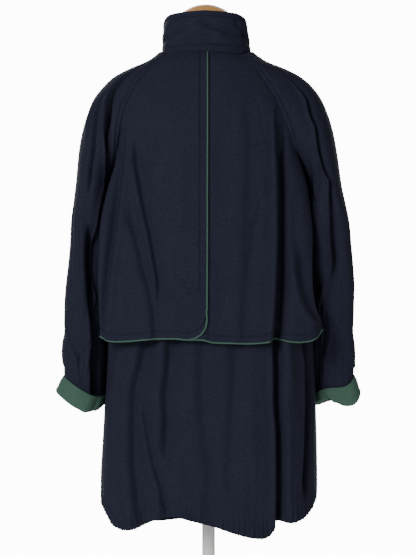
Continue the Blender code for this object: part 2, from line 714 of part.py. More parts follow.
def inset_ring(ring, inset, rise):
    """Return a cuff's ring drawn in on all sides and raised."""
    return ring._replace(
        z=ring.z + rise, inner=ring.inner + inset, outer=ring.outer - inset, half_depth=ring.half_depth - inset,
    )


def sleeve_sheet(side):
    """Build one raglan sleeve from the neck seam to its end, which meets the cuff's turned in edge."""
    shares = sleeve_shares(side)
    rows = [sleeve_level(side, level, shares) for level in range(UNDERARM_LEVEL)]
    rings = SLEEVE_RINGS[side]
    shares_of_depth = (0.0,) * (len(rings) - len(CUFF_GATHER_RINGS)) + CUFF_GATHER_RINGS
    for ring, share in zip(rings, shares_of_depth):
        row = tilted_ring(side, ring, shares)
        row[:-1] = gathered_ring(row[:-1], share * CUFF_GATHER_DEPTH)
        row[-1] = row[0]
        rows.append(row)
    cuff = cuff_sheet(side)
    edge = cuff.rows[-1]
    back_of_cuff = cuff.points[edge] - seam_normals([cuff])[0][edge] * CLOTH
    rows.append(back_of_cuff + np.array([0.0, 0.0, SEAM_GAP]))
    return Sheet(rows)


def gathered_ring(ring, depth):
    """Push every other point of a closed ring away from and towards its middle."""
    middle = ring.mean(axis=0)
    out = unit((ring - middle) * np.array([1.0, 1.0, 0.0]))
    wave = np.where(np.arange(len(ring)) % 2 == 0, 1.0, -1.0)
    return ring + out * (wave * depth)[:, None]


def cuff_sheet(side):
    """Build one turned back cuff, down its outside, round the fold and up to the sleeve's end."""
    rings = list(CUFF_RINGS[side])
    rings += [inset_ring(rings[-1], point.inset, point.rise) for point in CUFF_FOLD]
    return Sheet([cuff_ring(side, ring, sleeve_shares(side)) for ring in rings])


# Cape ---------------------------------------------------------------------------------------------

def cape_share(x, half_width, arc):
    """Return the share across a row at which it lies at x."""
    turn = math.radians(arc)
    return math.asin(x * math.sin(turn) / half_width) / turn


def cape_shares(side, low, high):
    """Return the cape's columns, closer together towards its edge at the middle."""
    even = np.linspace(0.0, 1.0, CAPE_COLUMNS + 1)
    if side == "left":
        return low + (high - low) * (1.0 - (1.0 - even) ** 1.5)
    return low + (high - low) * even


def cape_row(side, drop, z_of_x):
    """Return a row of one cape half from a row of its table, at heights given by z_of_x."""
    edge = CAPE_EDGE_LEFT if side == "left" else CAPE_EDGE_RIGHT
    half = drop["left"]
    inner = cape_share(edge, half, drop["arc"])
    low, high = (-1.0, inner) if side == "left" else (inner, 1.0)
    shares = cape_shares(side, low, high)
    row = arc_row(drop["left"], drop["right"], drop["y"], -drop["depth"], 0.0, 0.0, drop["arc"], shares)
    row[:, 2] = z_of_x(row[:, 0], shares)
    return row


def cape_sheet(side):
    """Build one half of the cape, from the neck seam, along the raglan seam and free to its hem."""
    rows = []
    for level in range(CAPE_TOP_LEVELS):
        back = BACK_LEVELS[level]
        drop = {"left": back.left, "right": back.right, "y": back.y,
                "depth": back.depth + CAPE_ROOM[level], "arc": back.arc}

        def level_z(_x, shares, back=back):
            return back.centre_z + (back.z - back.centre_z) * shares ** 2

        rows.append(cape_row(side, drop, level_z))
    hem_table = CAPE_HEM_LEFT if side == "left" else CAPE_HEM_RIGHT
    top_z = BACK_LEVELS[CAPE_TOP_LEVELS].z
    bottom_z = CAPE_DROPS[-1].z
    for down in CAPE_ROWS:
        level_z = top_z + (bottom_z - top_z) * down
        drop = {name: float(read(CAPE_DROPS, "z", name, level_z)) for name in ("left", "right", "y", "depth", "arc")}

        def hem_z(x, _shares, down=down):
            hem = curve([point.x for point in hem_table], [point.z for point in hem_table], x)
            return top_z + (hem - top_z) * down

        rows.append(cape_row(side, drop, hem_z))
    return Sheet(rows)


def cape_lift(side, points):
    """Return how far a cape half lies off the back's surface at its seams: one layer, or two."""
    lift = np.full(len(points), LAYER)
    if side == "left":
        rise = (points[:, 0] - CAPE_RISE_START) / (CAPE_RISE_END - CAPE_RISE_START)
        lift += LAYER * smooth_step(rise)
    return lift


def tube_along(path, out, radius, sides):
    """Make a closed round tube along a path; out is a direction square to it at each point."""
    along = unit(np.gradient(path, axis=0))
    across = unit(np.cross(along, out))
    lift = unit(np.cross(across, along))
    points, faces = [], []
    for place, centre in enumerate(path):
        for side in range(sides):
            angle = 2.0 * math.pi * side / sides
            points.append(centre + radius * (math.cos(angle) * lift[place] + math.sin(angle) * across[place]))
    for place in range(len(path) - 1):
        for side in range(sides):
            a = place * sides + side
            b = place * sides + (side + 1) % sides
            faces += [(a, b, b + sides), (a, b + sides, a + sides)]
    for side in range(1, sides - 1):
        faces.append((0, side + 1, side))
        last = (len(path) - 1) * sides
        faces.append((last, last + side, last + side + 1))
    return np.array(points), faces


def piping(side, sheet, normals):
    """Make the piping that follows a cape half's edge, just off it and at the middle of its wall."""
    rows = sheet.rows
    hem = rows[-1]
    if side == "left":
        numbers = [row[-1] for row in rows[:-1]] + hem[::-1]
        before = [row[-2] for row in rows[:-1]] + rows[-2][::-1]
    else:
        numbers = list(hem)
        before = list(rows[-2])
    centre = sheet.points[numbers] - normals[numbers] * CLOTH / 2.0
    away = sheet.points[numbers] - sheet.points[before]
    along = unit(np.gradient(centre, axis=0))
    away = unit(away - along * np.sum(away * along, axis=1, keepdims=True))
    path = centre + away * (PIPING_RADIUS + SEAM_GAP / 2.0)
    return tube_along(path, normals[numbers], PIPING_RADIUS, PIPING_SIDES)


# Collar -------------------------------------------------------------------------------------------

CollarPoint = namedtuple("CollarPoint", "turn band top_z")
COLLAR_SHAPE = (                # turn is 0 at the centre back and 180 at the centre front
    CollarPoint(0, 16, 1492),
    CollarPoint(45, 15, 1489),
    CollarPoint(90, 12, 1479),
    CollarPoint(135, 10, 1458),
    CollarPoint(180, 10, 1440),
)


def neck_loop(sheets):
    """Return the neck seam's points, from the centre front round by the left and the back."""
    loop = []
    for name in ("front_left", "sleeve_left", "back", "sleeve_right", "front_right"):
        sheet = sheets[name]
        row = sheet.points[sheet.rows[0]]
        loop += list(row if not loop else row[1:])
    return np.array(loop)


def collar_grid(base):
    """Return the collar's rows from the seam up: the band's seam first, then the collar's rows."""
    turn = np.degrees(np.arctan2(base[:, 0] - COLLAR_CENTRE_X, -base[:, 1]))
    size = np.abs(turn)
    band = read(COLLAR_SHAPE, "turn", "band", size)
    top_z = read(COLLAR_SHAPE, "turn", "top_z", size)
    angle = np.radians(turn)
    top = np.stack([
        COLLAR_CENTRE_X + COLLAR_HALF_WIDTH * np.sin(angle),
        -COLLAR_HALF_DEPTH * np.cos(angle),
        top_z,
    ], axis=1)
    height = top_z - base[:, 2]
    rows = [base]
    shares = [band / height]
    for step in range(1, COLLAR_ROWS + 1):
        shares.append(band / height + (1.0 - band / height) * step / COLLAR_ROWS)
    for share in shares:
        rows.append(base + (top - base) * share[:, None])
    return rows


def collar_pieces(sheets):
    """Build the collar and the band below it."""
    loop = neck_loop(sheets)
    first = next(place for place, point in enumerate(loop) if point[0] < -2.0 * COLLAR_OPENING)
    last = len(loop) - next(place for place, point in enumerate(loop[::-1]) if point[0] > 2.0 * COLLAR_OPENING)
    front = FRONT_LEVELS[0]
    ends = [np.array([sign * COLLAR_OPENING, front.depth, front.centre_z]) for sign in (-1.0, 1.0)]
    loop = np.vstack([ends[0], loop[first:last], ends[1]])
    rows = collar_grid(loop + np.array([0.0, 0.0, SEAM_GAP]))
    parts = (Sheet(rows[:2][::-1]), Sheet(rows[1:][::-1]))
    for name, sheet, normals in zip(("collar_band", "collar"), parts, seam_normals(parts)):
        points, faces = wall(sheet, normals, COLLAR_CLOTH)
        add_object(name, points, faces, "navy_wool")


# Fronts, buttons ----------------------------------------------------------------------------------

def button_seat(tree, height):
    """Return the plane on the upper front at the centre line and a height: a point and a normal.

    tree holds the front's outer face. The plane is laid over points round the button's edge.
    """
    samples = []
    for turn in range(9):
        reach = BUTTON_RADIUS if turn < 8 else 0.0
        angle = math.radians(45.0 * turn)
        start = Vector((reach * math.cos(angle), 400.0, height + reach * math.sin(angle)))
        samples.append(tree.ray_cast(start, Vector((0.0, -1.0, 0.0)))[0])
    samples = np.array(samples)
    middle = samples.mean(axis=0)
    normal = np.linalg.svd(samples - middle)[2][-1]
    normal = normal * math.copysign(1.0, normal[1])
    proud = np.max((samples - middle) @ normal)
    return middle + normal * (proud + SEAM_GAP), normal


def add_button(name, centre, normal):
    """Add one round button with a raised rim, its back just off the cloth."""
    across = unit(np.cross(normal, np.array([0.0, 0.0, 1.0])))
    up = np.cross(normal, across)
    profile = (
        (BUTTON_RADIUS - 0.6, 0.0), (BUTTON_RADIUS, BUTTON_THICK - 0.8),
        (BUTTON_RADIUS - 1.6, BUTTON_THICK), (BUTTON_RADIUS - 3.8, BUTTON_THICK - 0.9),
    )
    points, faces = turned(profile, BUTTON_SIDES)
    placed = centre + points[:, :1] * across + points[:, 1:2] * up + points[:, 2:3] * normal
    add_object(name, placed, faces, "horn_button", 30.0)


def turned(profile, sides):
    """Turn a profile of (radius, height) points about +Z, bottom to top, with flat end caps."""
    points, faces = [], []
    for radius, height in profile:
        for side in range(sides):
            angle = 2.0 * math.pi * side / sides
            points.append((radius * math.cos(angle), radius * math.sin(angle), height))
    for ring in range(len(profile) - 1):
        for side in range(sides):
            a = ring * sides + side
            b = ring * sides + (side + 1) % sides
            faces.append((a, b, b + sides, a + sides))
    faces.append(tuple(range(sides))[::-1])
    last = (len(profile) - 1) * sides
    faces.append(tuple(range(last, last + sides)))
    return np.array(points), faces


# Stand --------------------------------------------------------------------------------------------

def oval_rings(rings, sides, centre_x):
    """Join oval rings (z, half width, back, front) from the bottom up into a closed mesh."""
    points, faces = [], []
    for z, half_width, back, front in rings:
        for side in range(sides):
            angle = 2.0 * math.pi * side / sides
            depth = front if math.sin(angle) > 0.0 else back
            points.append((centre_x + half_width * math.cos(angle), depth * math.sin(angle), z))
    for ring in range(len(rings) - 1):
        for side in range(sides):
            a = ring * sides + side
            b = ring * sides + (side + 1) % sides
            faces.append((a, b, b + sides, a + sides))
    faces.append(tuple(range(sides))[::-1])
    last = (len(rings) - 1) * sides
    faces.append(tuple(range(last, last + sides)))
    return np.array(points, dtype=float), faces


def build_stand():
    """Build the dress form's torso, neck and wooden cap, the pole and the round foot."""
    rings = [tuple(row) for row in FORM_RINGS[::-1]]
    add_object("form_torso", *oval_rings(rings, FORM_COLUMNS, TORSO_CENTRE_X), "form_linen")
    neck = [tuple(row) for row in NECK_RINGS]
    add_object("form_neck", *oval_rings(neck, FORM_COLUMNS, NECK_CENTRE_X), "form_linen")
    dome = CAP_TOP_Z - CAP_RIM_Z - CAP_RIM_HEIGHT
    cap = [(CAP_RADIUS - 1.5, CAP_RIM_Z), (CAP_RADIUS, CAP_RIM_Z + 1.5), (CAP_RADIUS, CAP_RIM_Z + CAP_RIM_HEIGHT)]
    for degrees in (25, 45, 62, 77):
        angle = math.radians(degrees)
        cap.append((CAP_RADIUS * math.cos(angle), CAP_RIM_Z + CAP_RIM_HEIGHT + dome * math.sin(angle)))
    points, faces = turned(cap, FORM_COLUMNS)
    add_object("form_cap", points + np.array([NECK_CENTRE_X, 0.0, 0.0]), faces, "varnished_wood")
    torso_bottom = FORM_RINGS[-1].z
    collet = ((COLLET_RADIUS, BASE_HEIGHT + SEAM_GAP), (COLLET_RADIUS, BASE_HEIGHT + COLLET_HEIGHT),
              (POLE_RADIUS, BASE_HEIGHT + COLLET_HEIGHT + 6.0), (POLE_RADIUS, torso_bottom - SEAM_GAP))
    add_object("form_pole", *turned(collet, 16), "white_powder_coat", 40.0)
    foot = ((BASE_RADIUS, 0.0), (BASE_RADIUS, BASE_HEIGHT - BASE_BEVEL), (BASE_RADIUS - BASE_BEVEL, BASE_HEIGHT))
    add_object("form_base", *turned(foot, 40), "white_powder_coat", 30.0)


# Coat ---------------------------------------------------------------------------------------------

def shape_sheets():
    """Build the cloth sheets, press their folds in and lay their seams one on another."""
    sheets = {
        "back": back_sheet(),
        "front_left": front_sheet("left"),
        "front_right": front_sheet("right"),
        "sleeve_left": sleeve_sheet("left"),
        "sleeve_right": sleeve_sheet("right"),
        "cape_left": cape_sheet("left"),
        "cape_right": cape_sheet("right"),
    }
    names = list(sheets)
    normals = dict(zip(names, seam_normals([sheets[name] for name in names])))

    back = sheets["back"]
    skirt = fold_height(SKIRT_FOLDS, back.base[:, 2], back.base[:, 0])
    hidden = fold_height(UNDER_CAPE_FOLDS, back.base[:, 2], back.base[:, 0])
    below_cape = smooth_step((905.0 - back.base[:, 2]) / 30.0)
    offset = skirt * below_cape + hidden * (1.0 - below_cape)
    back.points = back.base + normals["back"] * offset[:, None]

    for name in ("front_left", "front_right"):
        sheet = sheets[name]
        offset = fold_height(FRONT_FOLDS, sheet.base[:, 2], sheet.base[:, 0])
        if name == "front_right":
            offset += LAP_RISE * smooth_step(1.0 - (sheet.base[:, 0] - FRONT_LAP) / LAP_RAMP)
        sheet.points = sheet.base + normals[name] * offset[:, None]

    for side in ("left", "right"):
        sheet = sheets["sleeve_" + side]
        share = np.zeros(len(sheet.base))
        for row in sheet.rows:
            for number, value in zip(row, sleeve_shares(side)):
                share[number] = value
        top_levels = {number: level for level, row in enumerate(sheet.rows[:UNDERARM_LEVEL]) for number in row}
        offset = fold_height(SLEEVE_FOLDS[side], sheet.base[:, 2], share, SLEEVE_HALF_GIRTH)
        for number, level in top_levels.items():
            near_seam = smooth_step((-share[number] - 0.62) / 0.38)
            offset[number] *= 1.0 - smooth_step((abs(share[number]) - 0.86) / 0.12)
            offset[number] += LAYER * near_seam * min(1.0, CAPE_TOP_LEVELS + 1 - level)
        sheet.points = sheet.base + normals["sleeve_" + side] * offset[:, None]

        cape = sheets["cape_" + side]
        folds = fold_height(CAPE_FOLDS, cape.base[:, 2], cape.base[:, 0])
        folds *= smooth_step((CAPE_FOLD_TOP + 30.0 - cape.base[:, 2]) / 60.0)
        cape.points = cape.base + normals["cape_" + side] * (cape_lift(side, cape.base) + folds)[:, None]
    return sheets


def build_coat():
    """Build every cloth piece of the coat and its trim."""
    sheets = shape_sheets()
    names = list(sheets)
    joined = [name for name in names if "cape" not in name]
    normals = dict(zip(joined, seam_normals([sheets[name] for name in joined], SHARED_SEAM_ANGLE)))
    for side in ("left", "right"):
        normals["cape_" + side] = seam_normals([sheets["cape_" + side]])[0]
        cuff = cuff_sheet(side)
        cuff_normals = seam_normals([cuff])[0]
        normals["sleeve_" + side][sheets["sleeve_" + side].rows[-1]] = -cuff_normals[cuff.rows[-1]]
        points, faces = wall(cuff, cuff_normals, CLOTH)
        add_object("cuff_" + side, points, faces, "green_wool")
    for name in names:
        pull = PULL if "cape" not in name else 2.0 * PULL
        points, faces = wall(sheets[name], normals[name], CLOTH, pull)
        add_object(name, points, faces, "navy_wool")
    for side in ("left", "right"):
        cape = sheets["cape_" + side]
        points, faces = piping(side, cape, normals["cape_" + side])
        add_object("piping_" + side, points, faces, "green_wool")
    collar_pieces(sheets)
    upper = sheets["front_right"]
    tree = BVHTree.FromPolygons(upper.points.tolist(), upper.faces.tolist())
    for number, height in enumerate(BUTTON_LEVELS, start=1):
        add_button(f"button_{number}", *button_seat(tree, height))


def main():
    """Build the whole part."""
    clear_scene()
    build_stand()
    build_coat()


if __name__ == "__main__":
    main()
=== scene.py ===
"""Looks of a raglan wool coat with a split storm cape, worn by a limbless dress form.

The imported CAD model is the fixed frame. The coat's back and cape face -Y, towards the camera, and its
buttoned front faces +Y. Tables and sizes are in millimetres, in the frame's axes; meshes are made in
metres. Every cloth panel is worked out as a fine grid of points, seen from outside with its rows from
top to bottom and its columns from left to right, pressed with folds and creases, and given a wall.
"Left" is the left side as the camera sees it.
"""

from __future__ import annotations

import logging
import math
from collections.abc import Sequence
from dataclasses import dataclass, field
from enum import Enum
from typing import NamedTuple

import bpy
import numpy as np
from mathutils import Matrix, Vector

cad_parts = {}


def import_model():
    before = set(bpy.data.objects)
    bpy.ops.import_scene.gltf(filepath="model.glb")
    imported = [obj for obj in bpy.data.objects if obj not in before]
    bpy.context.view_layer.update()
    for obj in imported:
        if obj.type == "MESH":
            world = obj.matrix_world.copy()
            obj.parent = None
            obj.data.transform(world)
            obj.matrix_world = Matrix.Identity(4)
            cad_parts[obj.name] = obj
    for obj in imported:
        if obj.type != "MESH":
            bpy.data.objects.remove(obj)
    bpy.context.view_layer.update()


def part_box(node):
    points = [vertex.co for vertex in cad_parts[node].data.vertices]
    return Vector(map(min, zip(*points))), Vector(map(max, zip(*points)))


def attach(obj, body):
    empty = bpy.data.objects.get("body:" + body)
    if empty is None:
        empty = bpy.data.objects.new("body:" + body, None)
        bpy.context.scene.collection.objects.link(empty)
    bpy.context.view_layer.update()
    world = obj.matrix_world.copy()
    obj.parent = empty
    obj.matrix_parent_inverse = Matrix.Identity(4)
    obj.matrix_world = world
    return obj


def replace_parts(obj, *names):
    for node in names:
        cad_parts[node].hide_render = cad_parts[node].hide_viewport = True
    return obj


log = logging.getLogger("coat")

MM = 0.001
BODY = "root"
Array = np.ndarray
Values = np.ndarray | float
Line = tuple[Array, Array]          # points on the cloth, and the way out at each
Solid = tuple[Array, list]          # points, and faces as lists of their numbers
Material, Tree, Socket = bpy.types.Material, bpy.types.NodeTree, bpy.types.NodeSocket

CLOTH = 2.0               # one wall of the wool cloth with its backing
LAYER = CLOTH + 0.6       # from one cloth to the next one lying on it
UNDERARM_LEVEL = 9        # the lowest level of the raglan seam
UNDERARM_Z = 1165.0
HEM_SHARE = 0.93          # the share of the way down below which rows are closer, for the hem
AT_SEAM = 0.25            # the share of a fold that is left at a seam


# Choices

class Side(Enum):
    """One side of the coat, as the camera sees it."""

    LEFT = "left"
    RIGHT = "right"

    @property
    def sign(self) -> float:
        """Return the sign of X on this side."""
        return self.pick(-1.0, 1.0)

    def pick(self, left: float, right: float) -> float:
        """Return the one of two values that is for this side."""
        return left if self is Side.LEFT else right


class Slot(Enum):
    """The record's material slots."""

    NAVY = "navy_wool"
    GREEN = "green_wool"
    HORN = "horn_button"
    LINEN = "form_linen"
    WOOD = "varnished_wood"
    PAINT = "white_powder_coat"


# Tables

def rows_of(kind: type[tuple], *rows: tuple) -> tuple:
    """Name the columns of a table's rows."""
    return tuple(kind(*row) for row in rows)


class BackLevel(NamedTuple):
    """The back at one level of the raglan seam, of ten from the neck to the underarm."""

    left: float
    right: float
    y: float
    z: float
    depth: float
    centre_z: float
    arc: float


BACK_LEVELS = rows_of(
    BackLevel,
    (79, 60, -60, 1408, 78, 1411, 55),
    (101, 80, -73, 1394, 91, 1395, 58),
    (121, 96, -83, 1370, 104, 1370, 62),
    (138, 112, -89, 1345, 114, 1345, 66),
    (151, 127, -91, 1320, 120, 1320, 70),
    (160, 138, -89, 1297, 124, 1297, 73),
    (166, 150, -82, 1267, 126, 1267, 77),
    (172, 160, -66, 1235, 126, 1235, 82),
    (179, 173, -38, 1200, 125, 1200, 86),
    (188, 188, 0, 1165, 123, 1165, 90),
)


class FrontLevel(NamedTuple):
    """The fronts at the same levels, with the neck cut lower."""

    x: float
    y: float
    z: float
    depth: float
    centre_z: float
    arc: float


FRONT_LEVELS = rows_of(
    FrontLevel,
    (68, 62, 1372, 86, 1345, 60),
    (88, 78, 1352, 96, 1328, 62),
    (108, 90, 1328, 105, 1308, 65),
    (124, 98, 1303, 113, 1286, 68),
    (136, 101, 1277, 119, 1263, 70),
    (146, 98, 1250, 124, 1240, 73),
    (155, 88, 1225, 127, 1218, 77),
    (164, 68, 1200, 129, 1197, 82),
    (175, 38, 1180, 130, 1179, 86),
    (188, 0, 1165, 130, 1165, 90),
)


class TopLevel(NamedTuple):
    """The sleeves' shoulder line at the same levels, and the oval that each one's arc is part of."""

    left: float
    right: float
    z: float
    half_width: float
    half_depth: float
    turn: float


TOP_LEVELS = rows_of(
    TopLevel,
    (91, 83, 1421, 12, 61, 80),
    (118, 112, 1401, 24, 76, 77),
    (152, 147, 1387, 36, 88, 77),
    (182, 178, 1371, 46, 96, 77),
    (205, 202, 1349, 53, 97, 82),
    (222, 218, 1326, 57, 94, 92),
    (234, 231, 1295, 54, 90, 105),
    (243, 241, 1260, 46, 86, 124),
    (250, 249, 1215, 39, 82, 150),
    (255, 256, 1165, 33.5, 80, 180),
)


class SleeveRing(NamedTuple):
    """A ring of a hanging sleeve; tilt is how much it falls towards the body."""

    z: float
    inner: float
    outer: float
    centre_y: float
    half_depth: float
    tilt: float


SLEEVE_RINGS = {
    Side.LEFT: rows_of(
        SleeveRing,
        (1165, 187, 255, 0, 80, 0.0),
        (1130, 189.5, 259, 3, 79, 0.0),
        (1092, 191, 264, 6, 77, 0.0),
        (1050, 191, 267, 11, 75, 0.0),
        (1005, 191, 271, 16, 71, 0.0),
        (960, 191.5, 276, 22, 67, 0.0),
        (920, 192, 279, 27, 64, 0.03),
        (882, 192.5, 279, 32, 62, 0.08),
        (852, 193, 283, 36, 60, 0.16),
        (828, 194, 284, 39, 58, 0.26),
        (808, 195, 283, 41, 57, 0.36),
        (786, 196, 280, 42, 55, 0.68),
    ),
    Side.RIGHT: rows_of(
        SleeveRing,
        (1165, 187, 256, 0, 80, 0.0),
        (1130, 189, 262, 3, 82, 0.0),
        (1092, 192, 268, 6, 80, 0.0),
        (1050, 194, 273, 11, 77, 0.0),
        (1005, 195, 278, 16, 72, 0.0),
        (960, 195.5, 281, 22, 67, 0.0),
        (920, 196, 281, 27, 64, 0.02),
        (882, 197.5, 279, 32, 62, 0.05),
        (852, 197, 282, 36, 60, 0.10),
        (828, 197.5, 283, 39, 58, 0.17),
        (808, 198.5, 283, 41, 57, 0.25),
        (788, 200, 280, 42, 55, 0.60),
    ),
}


class CuffRing(NamedTuple):
    """A ring of a turned back cuff, from its free edge at the top to its fold.

    Lift raises its end at the body, wave its back, and bend its outer end.
    """

    z: float
    inner: float
    outer: float
    centre_y: float
    half_depth: float
    tilt: float
    lift: float
    wave: float
    bend: float = 0.0


CUFF_RINGS = {
    Side.LEFT: rows_of(
        CuffRing,
        (767, 195.5, 281, 43, 60, 0.72, 24, 0),
        (755, 195.5, 287, 43, 63, 0.71, 30, 0),
        (743, 196.5, 292, 43, 65, 0.70, 38, 0),
        (735, 197.5, 295.5, 43, 66, 0.69, 45, 0),
    ),
    Side.RIGHT: rows_of(
        CuffRing,
        (777, 201, 282, 43, 60, 0.0, -14, 1, 22),
        (768, 201, 287, 43, 63, 0.0, -12, 4, 20),
        (758, 202, 291, 43, 65, 0.0, -9, 7, 18),
        (750.5, 203, 294, 43, 66, 0.0, -6, 9, 18),
    ),
}


class FoldPoint(NamedTuple):
    """A point round a cuff's fold: how far in and how far up from its last ring."""

    inset: float
    rise: float


CUFF_FOLD = rows_of(
    FoldPoint,
    (1.2, -2.8), (5.0, -4.2), (11.0, -4.2),
    (16.5, -1.0), (19.0, 4.0), (19.0, 12.0),
)


class BodyRing(NamedTuple):
    """A ring of the coat's body below the underarm; square is its corner exponent."""

    z: float
    left: float
    right: float
    back: float
    front: float
    square: float


BODY_RINGS = rows_of(
    BodyRing,
    (1165, 188, 188, 123, 130, 2.0),
    (1080, 185, 186, 121, 131, 2.1),
    (990, 186, 188, 123, 134, 2.2),
    (920, 189, 191, 128, 138, 2.3),
    (868, 192, 196, 133, 141, 2.4),
    (800, 195, 200, 138, 145, 2.4),
    (733, 199, 204, 142, 148, 2.4),
    (660, 204, 207, 146, 151, 2.4),
    (600, 207, 208, 148, 152, 2.4),
    (560, 206, 206, 147, 151, 2.4),
    (515, 200, 201, 144, 147, 2.4),
)


class HemPoint(NamedTuple):
    """The height of a hem at a place across it."""

    x: float
    z: float


HEM_BACK = rows_of(
    HemPoint,
    (-200, 556), (-192, 541), (-180, 518), (-157, 512),
    (-139, 515), (-118, 525), (-92, 536), (-66, 541),
    (-34, 534), (-10, 528), (25, 517), (53, 508),
    (80, 501), (100, 499), (113, 503), (122, 514),
    (130, 529), (152, 528), (172, 533), (190, 548),
    (201, 568),
)
HEM_FRONT = rows_of(
    HemPoint,
    (-200, 556), (-184, 528), (-150, 512), (-100, 506),
    (-50, 510), (0, 514), (60, 509), (120, 506),
    (165, 516), (188, 545), (201, 568),
)
CAPE_HEM = {
    Side.LEFT: rows_of(
        HemPoint,
        (-209, 880), (-203, 875), (-190, 870), (-173, 868),
        (-150, 869), (-127, 871), (-90, 874), (-60, 874),
        (-40, 872), (-29, 874), (-18, 879), (-10, 887),
        (-5, 897), (-3, 908),
    ),
    Side.RIGHT: rows_of(
        HemPoint,
        (-40, 872), (-12, 872), (8, 867), (36, 866),
        (73, 865), (99, 866), (114, 868), (122, 875),
        (137, 872), (152, 868), (170, 867), (190, 869),
        (203, 876), (214, 892),
    ),
}


class CapeDrop(NamedTuple):
    """The cape at a height, from where it leaves the raglan seam down to its hem."""

    z: float
    left: float
    right: float
    y: float
    depth: float
    arc: float


CAPE_DROPS = rows_of(
    CapeDrop,
    (1235, 172, 160, -66, 134, 82),
    (1200, 177, 173, -69, 137, 82),
    (1160, 187, 184, -72, 139, 82),
    (1115, 197, 190, -77, 141, 82),
    (1070, 203, 194, -85, 142, 82),
    (1020, 205, 194, -90, 143, 82),
    (975, 206, 195, -92, 144, 82),
    (935, 206, 200, -92, 145, 82),
    (905, 206, 208, -91, 146, 82),
    (868, 206, 214, -89, 147, 82),
)
CAPE_TOP_LEVELS = 7
CAPE_ROOM = (0, 0, 0, 1, 3, 5, 7, 8)     # the cape's extra depth over the back, by level


class Fold(NamedTuple):
    """A fold in the cloth.

    Depth is outward and the widths are to each side of its line, which holds (height, place across).
    A valley may have a soft ridge standing beside its low side, or, if it is negative, its high side.
    """

    depth: float
    low: float
    high: float
    line: tuple[tuple[float, float], ...]
    ridge: float = 0.0


FOLD_FADE = 55.0          # how far past its ends a main fold dies away
CREASE_FADE = 16.0        # and a small crease

# Places are read off the photograph, and the hidden sides have like ones. Valleys fall off steeply on
# one side, as cloth does where it hangs over an edge.
CAPE_FOLDS = rows_of(
    Fold,
    (-10, 4.5, 18, ((1206, -135), (1159, -127), (1103, -116), (1066, -107), (1029, -101), (992, -94),
     (975, -92)), 3),
    (-8.5, 8, 17, ((1090, -142), (1050, -130), (1001, -119), (964, -107), (920, -100), (885, -98)), 2),
    (-20, 10, 6, ((1225, -163), (1196, -166), (1150, -170), (1103, -175), (1057, -181), (1001, -188),
     (940, -195), (890, -199)), -6),
    (-3.5, 14, 20, ((1300, -120), (1230, -118), (1160, -112))),
    (-26, 4, 12, ((1264, 130), (1240, 131), (1215, 132), (1150, 134), (1075, 134), (1020, 133),
     (964, 131), (926, 129), (875, 125)), 4),
    (-8, 5, 27, ((1264, 130), (1215, 133), (1075, 135), (964, 132), (875, 126))),
    (-7, 10, 16, ((985, 139), (950, 138), (920, 136), (875, 133))),
    (-4.5, 10, 24, ((1290, 76), (1200, 78), (1131, 77), (1020, 73), (960, 71), (885, 69)), 1),
    (-3, 6, 12, ((1110, 96), (1081, 84), (1057, 83), (1010, 76))),
    (-2.5, 14, 24, ((1262, 30), (1180, 26), (1060, 22), (980, 24), (890, 28))),
    (-6, 9, 14, ((1120, 160), (1057, 163), (1015, 169))),
    (-17, 8, 30, ((1000, 173), (960, 181), (935, 190), (915, 202), (905, 212)), 4),
)
CAPE_FOLD_TOP = 1325.0      # the cape lies smooth above this height
SKIRT_FOLDS = rows_of(
    Fold,
    (6, 9, 12, ((890, -166), (861, -168), (834, -172), (806, -177), (778, -183), (740, -190))),
    (-7, 5, 6, ((885, -176), (861, -178), (834, -182), (806, -187))),
    (-17, 9, 24, ((890, -116), (861, -119), (834, -124), (811, -130), (787, -137), (759, -139),
     (703, -141), (648, -141), (610, -137), (573, -133), (535, -130)), 4),
    (-9, 5, 13, ((728, -121), (694, -114), (666, -109), (638, -101), (614, -94), (592, -86), (564, -83),
     (549, -81)), 2.5),
    (-15, 9, 22, ((890, -69), (861, -71), (824, -73), (787, -77), (759, -79), (722, -77), (685, -79)), 3),
    (-8, 13, 24, ((890, -11), (861, -10), (796, -10), (741, -8), (703, -4), (666, 1), (629, 7), (573, 5),
     (536, 9)), 1),
    (-7, 12, 20, ((890, 51), (861, 51), (824, 52), (787, 51), (759, 49), (685, 43), (610, 41)), 1.5),
    (-26, 4, 9, ((890, 124), (861, 125), (806, 127), (759, 127), (703, 131), (648, 132), (592, 132),
     (530, 131)), 4),
    (11, 8, 46, ((890, 146), (759, 148), (648, 152), (530, 152))),
    (4, 6, 7, ((870, 150), (861, 150), (824, 151), (796, 154))),
    (9, 7, 8, ((890, 190), (824, 194), (759, 195), (703, 193))),
    (-34, 3.5, 7, ((890, 179), (861, 180), (824, 185), (787, 186), (759, 186), (703, 184), (666, 183),
     (610, 179)), 3),
)
UNDER_CAPE_FOLDS = rows_of(
    Fold,
    (-14, 16, 26, ((1250, 133), (1187, 134), (1094, 136), (1001, 136), (945, 131))),
)
FRONT_FOLDS = rows_of(
    Fold,
    (-8, 8, 22, ((1090, -118), (980, -122), (860, -126), (700, -130), (560, -128)), 3),
    (-5, 14, 8, ((930, -76), (800, -80), (660, -86), (560, -88)), -2),
    (4, 14, 10, ((1000, -150), (860, -156), (700, -160), (600, -160))),
    (-9, 22, 8, ((1110, 112), (980, 118), (860, 124), (700, 128), (560, 132)), -3),
    (-5, 8, 16, ((900, 66), (780, 70), (650, 76), (560, 80)), 2),
    (4, 10, 14, ((1010, 148), (860, 152), (700, 156), (600, 158))),
    (-4, 9, 15, ((1180, -52), (1110, -58), (1020, -62)), 1),
    (-4, 12, 8, ((1215, 84), (1150, 78), (1070, 74)), -1),
)
